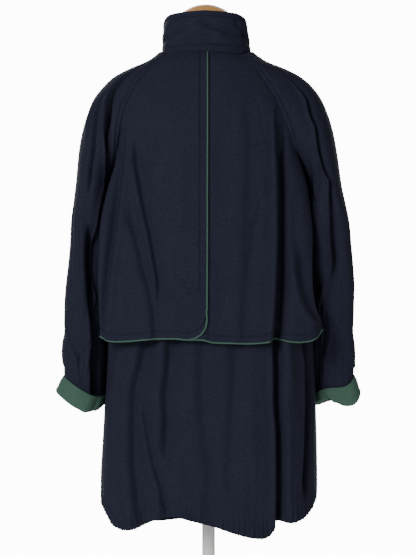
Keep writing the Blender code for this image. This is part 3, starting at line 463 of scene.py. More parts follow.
# On a sleeve the place across is a share of the way round: 0 outside, -1 the back seam or underarm.
SLEEVE_FOLDS = {
    Side.LEFT: rows_of(
        Fold,
        (-24, 12, 5, ((1345, -0.57), (1304, -0.69), (1266, -0.75), (1227, -0.81), (1192, -0.82),
         (1153, -0.775), (1125, -0.735), (1096, -0.71), (1050, -0.70)), -3),
        (-10, 9, 5, ((1300, -0.45), (1267, -0.49), (1229, -0.51), (1185, -0.47)), -1),
        (5, 10, 6, ((1290, -0.30), (1248, -0.37), (1219, -0.38), (1179, -0.35), (1143, -0.35),
         (1079, -0.40), (1020, -0.43), (948, -0.47))),
        (-2.5, 5, 4, ((1228, -0.34), (1202, -0.31), (1153, -0.30), (1079, -0.35), (1020, -0.38))),
        (-26, 48, 7, ((1040, -0.52), (1014, -0.53), (975, -0.57), (938, -0.60), (900, -0.635),
         (862, -0.655), (820, -0.65), (770, -0.645)), -2.5),
        (9, 5, 5, ((1010, -0.585), (985, -0.63), (950, -0.72))),
        (-3, 7, 4, ((895, -0.14), (874, -0.25), (856, -0.35), (838, -0.42), (830, -0.45)), -1.5),
        (2.5, 8, 8, ((952, -0.44), (935, -0.32), (918, -0.17))),
        (-6, 20, 9, ((1200, 0.62), (1120, 0.64), (1040, 0.60), (960, 0.55), (880, 0.5)), -2),
        (-5, 8, 16, ((1140, 0.24), (1080, 0.28), (1000, 0.33), (900, 0.30)), 2),
        (-4, 7, 14, ((960, 0.10), (900, 0.14), (840, 0.12)), 1),
        (-5, 9, 14, ((1330, 0.46), (1270, 0.58), (1200, 0.72)), 2),
    ),
    Side.RIGHT: rows_of(
        Fold,
        (-12, 4.5, 12, ((1322, -0.57), (1294, -0.61), (1270, -0.58), (1236, -0.585), (1212, -0.56),
         (1187, -0.50), (1169, -0.42), (1137, -0.445), (1100, -0.475), (1059, -0.495), (1030, -0.49)), 4),
        (4.5, 8, 6, ((1059, -0.52), (1023, -0.53), (991, -0.58), (959, -0.67), (930, -0.76))),
        (-3.5, 5, 9, ((1015, -0.475), (987, -0.495), (956, -0.565), (938, -0.625))),
        (-4, 7, 7, ((1169, -0.80), (1143, -0.79), (1124, -0.75))),
        (-2.5, 6, 6, ((1165, -0.63), (1146, -0.70), (1127, -0.77))),
        (-12, 13, 22, ((960, -0.86), (930, -0.84), (890, -0.82), (850, -0.82), (800, -0.84)), 0),
        (2.5, 9, 9, ((975, -0.43), (945, -0.41), (903, -0.44))),
        (3.5, 8, 5, ((927, -0.62), (906, -0.55), (877, -0.55), (847, -0.60))),
        (-4.5, 6, 6, ((912, -0.72), (885, -0.65), (857, -0.67), (828, -0.72))),
        (-6, 9, 20, ((1200, 0.60), (1120, 0.63), (1040, 0.61), (960, 0.57), (880, 0.5)), 2),
        (-5, 16, 8, ((1120, 0.28), (1050, 0.26), (970, 0.27), (890, 0.34)), -2),
        (-4, 14, 7, ((980, 0.08), (920, 0.05), (860, 0.10)), -1),
        (-5, 14, 9, ((1330, 0.50), (1265, 0.62), (1200, 0.70)), -2),
    ),
}
SLEEVE_HALF_GIRTH = 190.0
FLATNESS = {Side.LEFT: 2.3, Side.RIGHT: 4.2}     # corner exponents of the sleeves' and cuffs' ovals


class Dent(NamedTuple):
    """A crease down a turned back cuff; slant is how far round it goes on the way down."""

    height: float
    share: float
    slant: float
    width: float


CUFF_DENTS = {
    Side.LEFT: rows_of(Dent, (-2.2, -0.72, 0.10, 0.035), (1.6, -0.62, 0.12, 0.04)),
    Side.RIGHT: rows_of(Dent, (-3.0, -0.74, 0.16, 0.04), (2.0, -0.64, 0.12, 0.04)),
}

CAPE_CREASES = rows_of(
    Fold,
    (-1.8, 3.5, 5, ((988, -48), (976, -43), (964, -34))),
    (-1.4, 5, 7, ((1160, -96), (1100, -88), (1040, -80))),
    (-1.3, 5, 7, ((1010, -60), (960, -58), (905, -55))),
    (1.2, 8, 8, ((1220, -50), (1150, -48), (1090, -52))),
    (-1.6, 5, 7, ((960, -150), (920, -146), (885, -141))),
    (1.6, 7, 5, ((1180, 100), (1120, 103), (1060, 100))),
    (-1.2, 6, 8, ((1140, 2), (1080, 6), (1010, 4))),
    (1.2, 7, 7, ((1000, 96), (950, 94), (900, 92))),
    (-1.4, 4, 7, ((1330, -90), (1300, -104), (1262, -108))),
    (-1.4, 4, 7, ((1330, 84), (1300, 96), (1270, 100))),
)
SKIRT_CREASES = rows_of(
    Fold,
    (1.6, 8, 6, ((850, -150), (790, -158), (730, -162))),
    (-1.4, 5, 8, ((840, -48), (780, -44), (720, -48))),
    (1.5, 8, 6, ((700, -104), (650, -96), (600, -110))),
    (-1.4, 5, 8, ((820, 18), (760, 20), (700, 26))),
    (1.5, 9, 7, ((760, 84), (690, 82), (620, 86))),
    (-1.6, 5, 8, ((619, -68), (580, -64), (545, -62))),
    (-1.5, 5, 7, ((640, -44), (590, -40), (550, -38))),
    (-1.4, 5, 7, ((660, 72), (600, 76), (550, 78))),
    (-1.5, 5, 6, ((700, 160), (640, 158), (580, 156))),
    (-1.6, 5, 6, ((680, -182), (620, -178), (570, -172))),
)
FRONT_CREASES = rows_of(
    Fold,
    (1.5, 8, 6, ((1220, -90), (1150, -96), (1080, -98))),
    (-1.5, 5, 8, ((1060, -60), (990, -62), (920, -58))),
    (1.5, 9, 7, ((760, -50), (690, -52), (620, -56))),
    (-1.6, 5, 7, ((860, -176), (790, -178), (720, -176))),
    (-1.5, 8, 5, ((1200, 96), (1130, 100), (1060, 98))),
    (1.5, 6, 8, ((980, 56), (910, 60), (840, 58))),
    (-1.6, 5, 8, ((740, 100), (670, 104), (600, 102))),
    (1.6, 7, 5, ((840, 176), (770, 178), (700, 176))),
)
SLEEVE_CREASES = {
    Side.LEFT: rows_of(
        Fold,
        (-1.6, 6, 4, ((1120, -0.14), (1050, -0.20), (1000, -0.22))),
        (-2.0, 5, 4, ((817, -0.33), (798, -0.33), (782, -0.31))),
        (-2.4, 5, 4, ((822, -0.52), (796, -0.48), (777, -0.46))),
        (-2.2, 5, 4, ((826, -0.59), (792, -0.56), (768, -0.58))),
        (-2.0, 4, 4, ((860, -0.58), (846, -0.50), (836, -0.44))),
        (-1.8, 7, 5, ((1010, 0.10), (970, 0.22), (940, 0.34))),
        (-2.0, 6, 4, ((836, 0.14), (806, 0.12), (776, 0.14))),
        (-2.0, 4, 6, ((840, 0.44), (808, 0.42), (776, 0.46))),
    ),
    Side.RIGHT: rows_of(
        Fold,
        (-1.6, 4, 6, ((1090, -0.16), (1040, -0.20), (980, -0.16))),
        (-2.2, 4, 5, ((820, -0.60), (799, -0.58), (778, -0.61))),
        (-2.2, 4, 5, ((826, -0.49), (802, -0.48), (780, -0.48))),
        (-2.0, 4, 5, ((829, -0.34), (805, -0.36), (786, -0.33))),
        (-2.2, 4, 5, ((824, -0.70), (797, -0.69), (779, -0.73))),
        (-1.8, 5, 7, ((1010, 0.14), (970, 0.24), (935, 0.30))),
        (-2.0, 4, 6, ((838, 0.20), (808, 0.22), (778, 0.20))),
        (-2.0, 6, 4, ((832, 0.48), (804, 0.50), (776, 0.48))),
    ),
}


class CollarPoint(NamedTuple):
    """The collar at a turn from the centre back, 0, to the centre front, 180."""

    turn: float
    band: float
    top_z: float


COLLAR_SHAPE = rows_of(
    CollarPoint,
    (0, 16, 1492),
    (45, 15, 1489),
    (90, 12, 1479),
    (135, 10, 1458),
    (180, 10, 1440),
)


COLLAR_HEIGHT = 66.0
COLLAR_FADE = 11.0          # degrees past a crease's ends
# Here a line holds (turn from the centre back, share of the way up above the band).
COLLAR_CREASES = rows_of(
    Fold,
    (-4.2, 5, 8, ((-76, -0.02), (-66, 0.10), (-58, 0.20), (-44.5, 0.43), (-30.5, 0.49)), 0.8),
    (-4.6, 5, 9, ((-3.6, 0.65), (5.3, 0.55), (20.9, 0.46), (46, 0.35), (65, 0.26)), 0.8),
    (-3.4, 5, 8, ((-24, 0.12), (-7, 0.175), (7, 0.21))),
    (-3.4, 5, 8, ((36, 0.24), (46, 0.16), (58, 0.07), (70, 0.0))),
    (-4.0, 6, 8, ((50, 0.66), (57.6, 0.46), (66, 0.25), (75.5, 0.05))),
    (2.4, 8, 8, ((-60, 0.62), (-46, 0.68), (-30, 0.72))),
    (1.5, 8, 9, ((-18, 0.40), (0, 0.38), (16, 0.30))),
    (-2.2, 5, 7, ((96, 0.30), (112, 0.46), (130, 0.52))),
    (-2.2, 5, 7, ((-136, 0.24), (-120, 0.38), (-102, 0.60))),
    (-1.8, 6, 7, ((132, 0.16), (150, 0.20), (164, 0.28))),
)


class FormRing(NamedTuple):
    """An oval ring of the dress form."""

    z: float
    half_width: float
    back: float
    front: float


FORM_RINGS = rows_of(
    FormRing,
    (1412, 60, 57, 47), (1405, 72, 62, 48), (1399, 104, 68, 50),
    (1388, 139.6, 74, 54), (1376, 157, 79, 59), (1360, 174, 84, 66),
    (1335, 182, 92, 78), (1300, 180, 100, 94), (1255, 168, 105, 110),
    (1200, 152, 105, 118), (1150, 145, 102, 116), (1060, 126, 92, 98),
    (980, 146, 104, 104), (900, 164, 114, 110), (820, 168, 118, 112),
    (740, 162, 112, 108),
)
NECK_RINGS = rows_of(
    FormRing,
    (1479.7, 54.5, 54.5, 54.5), (1432.0, 56, 55, 50), (1412.3, 57, 55, 45),
)


# Small mathematics

def linear(colour: str) -> tuple[float, float, float, float]:
    """Turn an sRGB hex colour to linear values.

    Args:
        colour: Six hex digits, such as "1f2538".

    Returns:
        Linear red, green, blue and an alpha of one.
    """
    parts = [int(colour[place:place + 2], 16) / 255.0 for place in (0, 2, 4)]
    values = [part / 12.92 if part <= 0.04045 else ((part + 0.055) / 1.055) ** 2.4 for part in parts]
    return (*values, 1.0)


def smooth_step(value: Values) -> Array:
    """Go from 0 to 1 with level ends as value goes from 0 to 1."""
    share = np.clip(value, 0.0, 1.0)
    return share * share * (3.0 - 2.0 * share)


def curve(keys: Sequence[float], values: Sequence[float], at: Values) -> Array:
    """Read a smooth curve that makes no bumps of its own.

    Args:
        keys: Places where the curve is known.
        values: Its values there.
        at: Places to read, in any shape.

    Returns:
        The curve's values in the shape of at.
    """
    order = np.argsort(keys)
    key = np.asarray(keys, dtype=float)[order]
    value = np.asarray(values, dtype=float)[order]
    rise = np.diff(value) / np.diff(key)
    slope = np.empty_like(value)
    slope[0], slope[-1] = rise[0], rise[-1]
    same = rise[:-1] * rise[1:] > 0.0
    total = np.where(same, rise[:-1] + rise[1:], 1.0)
    slope[1:-1] = np.where(same, 2.0 * rise[:-1] * rise[1:] / total, 0.0)
    place = np.asarray(at, dtype=float)
    span = np.clip(np.searchsorted(key, place) - 1, 0, len(key) - 2)
    width = key[span + 1] - key[span]
    u = np.clip((place - key[span]) / width, 0.0, 1.0)
    return (
        value[span] * (1 + 2 * u) * (1 - u) ** 2
        + slope[span] * width * u * (1 - u) ** 2
        + value[span + 1] * u * u * (3 - 2 * u)
        + slope[span + 1] * width * u * u * (u - 1)
    )


def read(table: Sequence[tuple], columns: str, at: Values, key: str = "") -> list[Array]:
    """Read columns of a table as smooth curves.

    Args:
        table: Rows with named columns.
        columns: The names of those to read.
        at: Places to read.
        key: The column that at is measured along, or none for the rows' numbers, whole or between.

    Returns:
        Each column's values there.
    """
    places = [getattr(row, key) for row in table] if key else range(len(table))
    return [curve(places, [getattr(row, name) for row in table], at) for name in columns.split()]


def steps_down(*stretches: tuple[float, int]) -> Array:
    """Return shares of the way down.

    Args:
        stretches: Each one's end, as a share, and how many rows it has.

    Returns:
        The shares after 0, as a column.
    """
    ends = [0.0] + [end for end, _ in stretches]
    parts = [np.linspace(start, end, rows + 1)[1:] for start, (end, rows) in zip(ends, stretches)]
    return np.concatenate(parts)[:, None]


def lengths(path: Array) -> Array:
    """Return each point's length along a path from its start."""
    return np.concatenate([[0.0], np.cumsum(np.linalg.norm(np.diff(path, axis=0), axis=1))])


def unit(vectors: Array) -> Array:
    """Scale vectors to a length of one."""
    return vectors / np.maximum(np.linalg.norm(vectors, axis=-1, keepdims=True), 1e-9)


def fold_height(
    folds: Sequence[Fold], height: Array, across: Array, fade: float, scale: float = 1.0,
) -> Array:
    """Sum folds at points.

    Args:
        folds: Their table.
        height: Each point's height.
        across: Each point's place across.
        fade: How far past its ends a fold dies away.
        scale: Millimetres for one unit across.

    Returns:
        How far out each point moves.
    """
    total = np.zeros_like(height)
    for fold in folds:
        heights = [point[0] for point in fold.line]
        places = [point[1] for point in fold.line]
        distance = (across - curve(heights, places, height)) * scale
        width = np.where(distance < 0.0, fold.low, fold.high)
        beside = fold.low if fold.ridge > 0.0 else -fold.high
        ridge = abs(fold.ridge) * np.exp(-(((distance + 2.0 * beside) / (1.3 * beside)) ** 2))
        ends = smooth_step(1.0 - (height - max(heights)) / fade)
        ends = ends * smooth_step(1.0 - (min(heights) - height) / fade)
        total += (fold.depth * np.exp(-((distance / width) ** 2)) + ridge) * ends
    return total


def folded(
    folds: Sequence[Fold], creases: Sequence[Fold], height: Array, across: Array, scale: float = 1.0,
) -> Array:
    """Sum a piece's main folds and its small creases, as fold_height does."""
    main = fold_height(folds, height, across, FOLD_FADE, scale)
    return main + fold_height(creases, height, across, CREASE_FADE, scale)


def groove(distance: Array, width: float, depth: float) -> Array:
    """Return the depth of a sewn line's groove at distances from it."""
    return depth * np.exp(-((distance / width) ** 2))


def flat_oval(angle: Array, square: Values) -> Array:
    """Return the depth share at an angle of an oval that is flatter than an ellipse, which has 2."""
    return np.sign(np.sin(angle)) * (1.0 - np.abs(np.cos(angle)) ** square) ** (1.0 / square)


def undulation(first: Array, second: Array, wavelength: float, seed: int) -> Array:
    """Return a soft uneven field between about -1 and 1, as cloth that is never quite flat.

    Args:
        first: One coordinate of each point, in millimetres.
        second: The other one.
        wavelength: The usual distance between crests.
        seed: Chooses one of many such fields.

    Returns:
        The field's value at each point.
    """
    chance = np.random.default_rng(seed)
    total, waves = np.zeros_like(first), 9
    for _ in range(waves):
        turn = chance.uniform(0.0, math.pi)
        size = wavelength * chance.uniform(0.7, 1.6)
        phase = chance.uniform(0.0, 2.0 * math.pi)
        total += np.sin((first * math.cos(turn) + second * math.sin(turn)) * 2.0 * math.pi / size + phase)
    return total / math.sqrt(waves)


# Cloth grids

@dataclass
class Grid:
    """A cloth surface as rows and columns of points, with the way out at each."""

    points: Array
    closed: bool = False
    normals: Array = field(init=False)

    def __post_init__(self) -> None:
        """Work out the normals."""
        self.normals = self.outward()

    def outward(self) -> Array:
        """Return the way out at each point of the grid as it now is.

        Returns:
            Unit vectors, one at each point.
        """
        down = np.gradient(self.points, axis=0)
        if self.closed:
            around = np.concatenate([self.points[:, -2:-1], self.points, self.points[:, 1:2]], axis=1)
            across = np.gradient(around, axis=1)[:, 1:-1]
        else:
            across = np.gradient(self.points, axis=1)
        return unit(np.cross(down, across))

    def press(self, height: Array, sideways: float = 1.0) -> None:
        """Move each point out along its normal and work the normals out anew.

        Args:
            height: How far out each point moves.
            sideways: The share of the move along X that is kept.
        """
        self.points = self.points + self.normals * height[..., None] * np.array([sideways, 1.0, 1.0])
        self.normals = self.outward()

    def sizes(self) -> tuple[Array, Array]:
        """Return each point's length along its row from the first column, and down its column.

        Returns:
            The two lengths, in millimetres.
        """
        across = np.linalg.norm(np.diff(self.points, axis=1), axis=2)
        down = np.linalg.norm(np.diff(self.points, axis=0), axis=2)
        rows = np.concatenate([np.zeros((len(self.points), 1)), np.cumsum(across, axis=1)], axis=1)
        columns = np.concatenate([np.zeros((1, self.points.shape[1])), np.cumsum(down, axis=0)], axis=0)
        return rows, columns

    def area(self) -> float:
        """Return the surface's area in square metres.

        Returns:
            The area.
        """
        down = np.diff(self.points, axis=0)[:, :-1]
        across = np.diff(self.points, axis=1)[:-1]
        return float(np.linalg.norm(np.cross(down, across), axis=2).sum()) * MM * MM

    def sample(self, rows: Array, columns: Array) -> Line:
        """Read points and normals between the grid's own.

        Args:
            rows: Row numbers, whole or between.
            columns: Column numbers, one for each row number.

        Returns:
            The points and their normals.
        """
        row = np.clip(np.floor(rows).astype(int), 0, self.points.shape[0] - 2)
        column = np.clip(np.floor(columns).astype(int), 0, self.points.shape[1] - 2)
        v = (np.asarray(rows) - row)[:, None]
        u = (np.asarray(columns) - column)[:, None]

        def mix(values: Array) -> Array:
            """Read values between four of the grid's points.

            Args:
                values: One value or vector at each point.

            Returns:
                The value at each place.
            """
            upper = values[row, column] * (1 - u) + values[row, column + 1] * u
            lower = values[row + 1, column] * (1 - u) + values[row + 1, column + 1] * u
            return upper * (1 - v) + lower * v

        return mix(self.points), unit(mix(self.normals))

    def column_at_x(self, row: int, x: float) -> float:
        """Return the column number at which a row that runs one way lies at x.

        Args:
            row: The row's number.
            x: The place, in millimetres.

        Returns:
            The number, with its fraction.
        """
        line = self.points[row, :, 0]
        order = np.argsort(line)
        return float(np.interp(x, line[order], np.arange(len(line))[order]))

    def line_above_end(self, columns: Array, distance: float) -> Line:
        """Return the line that lies a distance above the lower ends of columns.

        Args:
            columns: The columns' numbers.
            distance: Along the cloth, in millimetres.

        Returns:
            The line's points and ways out.
        """
        rows = []
        for column in columns:
            above = lengths(self.points[::-1, column])
            rows.append(len(above) - 1 - np.interp(distance, above, np.arange(len(above))))
        return self.sample(np.array(rows), columns)

    def line_beside_end(self, rows: Array, distance: float, at_start: bool) -> Line:
        """Return the line that lies a distance from the first or last ends of rows.

        Args:
            rows: The rows' numbers.
            distance: Along the cloth, in millimetres.
            at_start: True at the rows' first ends.

        Returns:
            The line's points and ways out.
        """
        columns = []
        for row in rows:
            along = lengths(self.points[row])
            target = distance if at_start else along[-1] - distance
            columns.append(np.interp(target, along, np.arange(len(along))))
        return self.sample(rows, np.array(columns))


def link(mesh: bpy.types.Mesh, material: Material) -> bpy.types.Object:
    """Put a mesh in the scene as a piece of the part.

    Args:
        mesh: The piece's mesh, in metres.
        material: Its finish.

    Returns:
        The new object, riding on the part's one body.
    """
    mesh.materials.append(material)
    item = bpy.data.objects.new(mesh.name, mesh)
    bpy.context.scene.collection.objects.link(item)
    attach(item, BODY)
    return item


def mesh_of(
    name: str, points: Array, faces: list, sharp_degrees: float = 50.0, uv: Array | None = None,
) -> bpy.types.Mesh:
    """Make a smooth shaded mesh.

    Args:
        name: Its name.
        points: Its points in millimetres.
        faces: Its faces as lists of point numbers.
        sharp_degrees: Edges that turn more than this are sharp.
        uv: A place on the cloth for each point, in metres.

    Returns:
        The mesh.
    """
    mesh = bpy.data.meshes.new(name)
    mesh.from_pydata((np.asarray(points) * MM).tolist(), [], [list(map(int, face)) for face in faces])
    mesh.update()
    mesh.shade_smooth()
    mesh.set_sharp_from_angle(angle=math.radians(sharp_degrees))
    if uv is not None:
        corners = np.empty(len(mesh.loops), dtype=np.int32)
        mesh.loops.foreach_get("vertex_index", corners)
        mesh.uv_layers.new(name="cloth").data.foreach_set("uv", uv[corners].astype(np.float32).ravel())
    return mesh


def every_second(count: int) -> Array:
    """Return every second number below a count, with the last one."""
    return np.unique(np.append(np.arange(0, count, 2), count - 1))


def shell(name: str, grid: Grid, thickness: float) -> bpy.types.Mesh:
    """Give a cloth surface a wall and its rims. The inner side has half as many rows and columns.

    Args:
        name: The mesh's name.
        grid: The outer surface.
        thickness: The wall, inwards.

    Returns:
        A closed mesh.
    """
    rows, columns = grid.points.shape[:2]
    across, down = grid.sizes()
    uv = np.stack([across, -down], axis=-1) * MM
    few_rows, few_columns = every_second(rows), every_second(columns)
    few = np.ix_(few_rows, few_columns)
    inner = grid.points[few] - grid.normals[few] * thickness
    number = np.arange(rows * columns).reshape(rows, columns)
    under = rows * columns + np.arange(inner[..., 0].size).reshape(inner.shape[:2])

    def quads(of: Array) -> Array:
        """Return the faces between rows and columns of point numbers."""
        return np.stack([of[:-1, :-1], of[1:, :-1], of[1:, 1:], of[:-1, 1:]], axis=-1).reshape(-1, 4)

    faces = quads(number).tolist() + quads(under)[:, ::-1].tolist()
    for edge, low_edge, picked, outward_first in (
        (number[0], under[0], few_columns, True), (number[-1], under[-1], few_columns, False),
        (number[:, 0], under[:, 0], few_rows, False), (number[:, -1], under[:, -1], few_rows, True),
    ):
        for place in range(len(picked) - 1):
            rim = [*edge[picked[place]:picked[place + 1] + 1], low_edge[place + 1], low_edge[place]]
            faces.append(rim if outward_first else rim[::-1])
    points = np.vstack([grid.points.reshape(-1, 3), inner.reshape(-1, 3)])
    return mesh_of(name, points, faces, 60.0, np.vstack([uv.reshape(-1, 2), uv[few].reshape(-1, 2)]))


def ring_faces(rings: int, sides: int) -> list:
    """Return the faces of a body of stacked rings with flat ends.

    Args:
        rings: How many rings there are.
        sides: How many points each ring has.

    Returns:
        Each face's point numbers.
    """
    faces = []
    for ring in range(rings - 1):
        for side in range(sides):
            first, second = ring * sides + side, ring * sides + (side + 1) % sides
            faces.append([first, second, second + sides, first + sides])
    last = (rings - 1) * sides
    return faces + [list(range(sides))[::-1], list(range(last, last + sides))]


def tube(path: Array, out: Array, radius: float, sides: int) -> Solid:
    """Make a closed round tube along a path.

    Args:
        path: Its centre line.
        out: A direction across the path at each of its points.
        radius: Its radius.
        sides: Sides of its section.

    Returns:
        Its points and faces.
    """
    along = unit(np.gradient(path, axis=0))
    across = unit(np.cross(along, out))
    lift = unit(np.cross(across, along))
    angle = 2.0 * math.pi * np.arange(sides) / sides
    around = np.cos(angle)[None, :, None] * lift[:, None] + np.sin(angle)[None, :, None] * across[:, None]
    return (path[:, None] + radius * around).reshape(-1, 3), ring_faces(len(path), sides)


def turned(profile: Sequence[tuple[float, float]], sides: int) -> Solid:
    """Turn a profile about +Z.

    Args:
        profile: Points of (radius, height) along its outline, from one end to the other.
        sides: Sides of each ring.

    Returns:
        Its points and faces, with flat end caps.
    """
    angle = 2.0 * math.pi * np.arange(sides) / sides
    rings = [np.stack([radius * np.cos(angle), radius * np.sin(angle), np.full(sides, height)], axis=1)
             for radius, height in profile]
    return np.vstack(rings), ring_faces(len(profile), sides)


def join(parts: Sequence[Solid]) -> Solid:
    """Join several sets of points and faces into one.

    Args:
        parts: The sets.

    Returns:
        Their points and faces.
    """
    points, faces, start = [], [], 0
    for part_points, part_faces in parts:
        points.append(part_points)
        faces += [[number + start for number in face] for face in part_faces]
        start += len(part_points)
    return np.vstack(points), faces


@dataclass(frozen=True)
class Stitch:
    """Lockstitch of a sewing thread: real stitches are 3 mm long in 0.4 mm thread."""

    length: float = 3.4
    gap: float = 1.1
    radius: float = 0.3
    sink: float = 0.3

    def along(self, path: Array, normals: Array) -> list[Solid]:
        """Lay stitches along a line on the cloth.

        Args:
            path: Points of the line.
            normals: The way out of the cloth at each.

        Returns:
            Points and faces of each stitch.
        """
        run = lengths(path)
        pitch = self.length + self.gap
        made = []
        for number in range(int(run[-1] // pitch)):
            # Each stitch dives into the cloth at both ends.
            at = number * pitch + np.array([0.0, 0.25, 0.75, 1.0]) * self.length
            centre = np.stack([np.interp(at, run, path[:, axis]) for axis in range(3)], axis=1)
            out = unit(np.stack([np.interp(at, run, normals[:, axis]) for axis in range(3)], axis=1))
            height = self.radius * np.array([-0.9, 0.55, 0.55, -0.9]) - self.sink
            made.append(tube(centre + out * height[:, None], out, self.radius, 5))
        return made


# Finishes

def add_node(
    tree: Tree, kind: str, settings: dict | None = None, links: dict | None = None,
) -> bpy.types.Node:
    """Add a node with its settings and links.

    Args:
        tree: The material's or world's node tree.
        kind: The node's type, without ShaderNode.
        settings: Values by input name or number, or by the node's own property.
        links: Output sockets by the name or number of the input they feed.

    Returns:
        The new node.
    """
    node = tree.nodes.new("ShaderNode" + kind)
    for key, value in (settings or {}).items():
        if isinstance(key, int) or key in node.inputs:
            node.inputs[key].default_value = value
        else:
            setattr(node, key, value)
    for key, socket in (links or {}).items():
        tree.links.new(socket, node.inputs[key])
    return node


def per_metre(size: float) -> float:
    """Return a pattern's scale from its size in millimetres."""
    return 1.0 / (size * MM)


BANDS = 2.0 * math.pi / 20.0     # a wave pattern's scale for one band a unit


class Pattern(NamedTuple):
    """What a finish's own nodes give its colours and its shader."""

    share: Socket
    settings: dict
    normal: Socket | None = None
    accent: Socket | None = None


@dataclass(frozen=True)
class Finish:
    """A finish by nodes: two sRGB colours blended by a pattern, and a third one laid over them."""

    name: str
    low: str
    high: str
    accent: str = ""

    def build(self) -> Material:
        """Make the material.

        Returns:
            The material.
        """
        material = bpy.data.materials.new(self.name)
        material.use_nodes = True
        tree = material.node_tree
        tree.nodes.clear()
        place = add_node(tree, "TexCoord")
        pattern = self.pattern(tree, place.outputs["Object"], place.outputs["UV"])
        colour = add_node(tree, "Mix", {"data_type": "RGBA", 6: linear(self.low), 7: linear(self.high)},
                          {0: pattern.share})
        if pattern.accent:
            colour = add_node(tree, "Mix", {"data_type": "RGBA", 7: linear(self.accent)},
                              {0: pattern.accent, 6: colour.outputs[2]})
        links = {"Base Color": colour.outputs[2]}
        if pattern.normal:
            links["Normal"] = pattern.normal
        shader = add_node(tree, "BsdfPrincipled", pattern.settings, links)
        add_node(tree, "OutputMaterial", links={"Surface": shader.outputs[0]})
        return material

    def pattern(self, tree: Tree, solid: Socket, cloth: Socket) -> Pattern:
        """Add the finish's own nodes.

        Args:
            tree: The material's node tree.
            solid: Places in the object.
            cloth: Places on the cloth, in metres.

        Returns:
            Their pattern.
        """
        raise NotImplementedError


@dataclass(frozen=True)
class FulledWool(Finish):
    """Wool twill, woven, fulled and brushed: matte, with a short nap that hides most of the weave.

    The nap gives a soft pale edge where the cloth turns away, and uneven dye and lie of the nap give
    faint clouds. The yarns are 0.5 mm apart; the twill is drawn at 2.2 mm, the finest that shows.
    """

    sheen: float = 0.10
    cloud_mm: float = 38.0
    twill_mm: float = 2.2
    nap_mm: float = 1.3
    tuft_mm: float = 3.4
    roughness: float = 0.92

    def pattern(self, tree: Tree, solid: Socket, cloth: Socket) -> Pattern:
        """Add clouds, tufts, pale fibre ends and the twill's lines.

        Args:
            tree: The material's node tree.
            solid: Places in the object.
            cloth: Places on the cloth, in metres.

        Returns:
            The pattern.
        """
        clouds, tufts, flecks = (
            add_node(tree, "TexNoise", {"Scale": per_metre(size), "Detail": detail}, {"Vector": solid})
            for size, detail in ((self.cloud_mm, 4.0), (self.tuft_mm, 2.0), (self.nap_mm, 3.0))
        )
        mixed = add_node(tree, "Math", {"operation": "MULTIPLY_ADD", 1: 0.25},
                         {0: clouds.outputs[0], 2: tufts.outputs[0]})
        shades = add_node(tree, "MapRange", {1: 0.30, 2: 0.96}, {0: mixed.outputs[0]})
        bright = add_node(tree, "MapRange", {1: 0.60, 2: 0.78, 4: 0.55}, {0: flecks.outputs[0]})
        # A twill's lines run up to one side, square to the direction that this rotation gives.
        slanted = add_node(tree, "Mapping", {"Rotation": (0.0, 0.0, math.radians(27.0))}, {0: cloth})
        twill = add_node(
            tree, "TexWave",
            {"Scale": per_metre(self.twill_mm) * BANDS, "Distortion": 0.7, "Detail": 2.0,
             "Detail Scale": 1.4},
            {"Vector": slanted.outputs[0]},
        )
        bump = add_node(tree, "Bump", {"Strength": 0.16, "Distance": 0.25 * MM},
                        {"Height": twill.outputs["Fac"]})
        for strength, distance, height in ((0.30, 0.30, flecks), (0.18, 0.9, tufts)):
            bump = add_node(tree, "Bump", {"Strength": strength, "Distance": distance * MM},
                            {"Height": height.outputs[0], "Normal": bump.outputs[0]})
        settings = {
            "Roughness": self.roughness, "IOR": 1.45, "Specular IOR Level": 0.09, "Sheen Weight": self.sheen,
            "Sheen Roughness": 0.4, "Sheen Tint": linear(self.high),
        }
        return Pattern(shades.outputs[0], settings, bump.outputs[0], bright.outputs[0])


@dataclass(frozen=True)
class SewingThread(Finish):
    """Spun polyester thread: two plies twisted, a little darker than the cloth it is sewn in."""

    ply_mm: float = 0.7

    def pattern(self, tree: Tree, solid: Socket, cloth: Socket) -> Pattern:
        """Add the plies' twist.

        Args:
            tree: The material's node tree.
            solid: Places in the object.
            cloth: Places on the cloth, in metres; not used.

        Returns:
            The pattern.
        """
        twist = add_node(tree, "TexNoise", {"Scale": per_metre(self.ply_mm), "Detail": 1.0},
                         {"Vector": solid})
        bump = add_node(tree, "Bump", {"Strength": 0.3, "Distance": 0.1 * MM},
                        {"Height": twist.outputs[0]})
        return Pattern(twist.outputs[0], {"Roughness": 0.7, "Specular IOR Level": 0.08}, bump.outputs[0])


@dataclass(frozen=True)
class PolishedHorn(Finish):
    """Dark horn, turned and polished: streaks of grey in near black under a soft gloss."""

    name: str = "polished horn"
    low: str = "14161c"
    high: str = "3b3a3d"
    streak_mm: float = 2.6

    def pattern(self, tree: Tree, solid: Socket, cloth: Socket) -> Pattern:
        """Add the streaks.

        Args:
            tree: The material's node tree.
            solid: Places in the object.
            cloth: Places on the cloth, in metres; not used.

        Returns:
            The pattern.
        """
        stretched = add_node(tree, "Mapping", {"Scale": (1.0, 1.0, 4.0)}, {0: solid})
        streaks = add_node(tree, "TexNoise",
                           {"Scale": per_metre(self.streak_mm) / 4.0, "Detail": 4.0, "Distortion": 0.6},
                           {"Vector": stretched.outputs[0]})
        share = add_node(tree, "MapRange", {1: 0.45, 2: 0.75}, {0: streaks.outputs[0]})
        return Pattern(share.outputs[0], {"Roughness": 0.34, "IOR": 1.54, "Specular IOR Level": 0.25,
                                          "Coat Weight": 0.1, "Coat Roughness": 0.15})


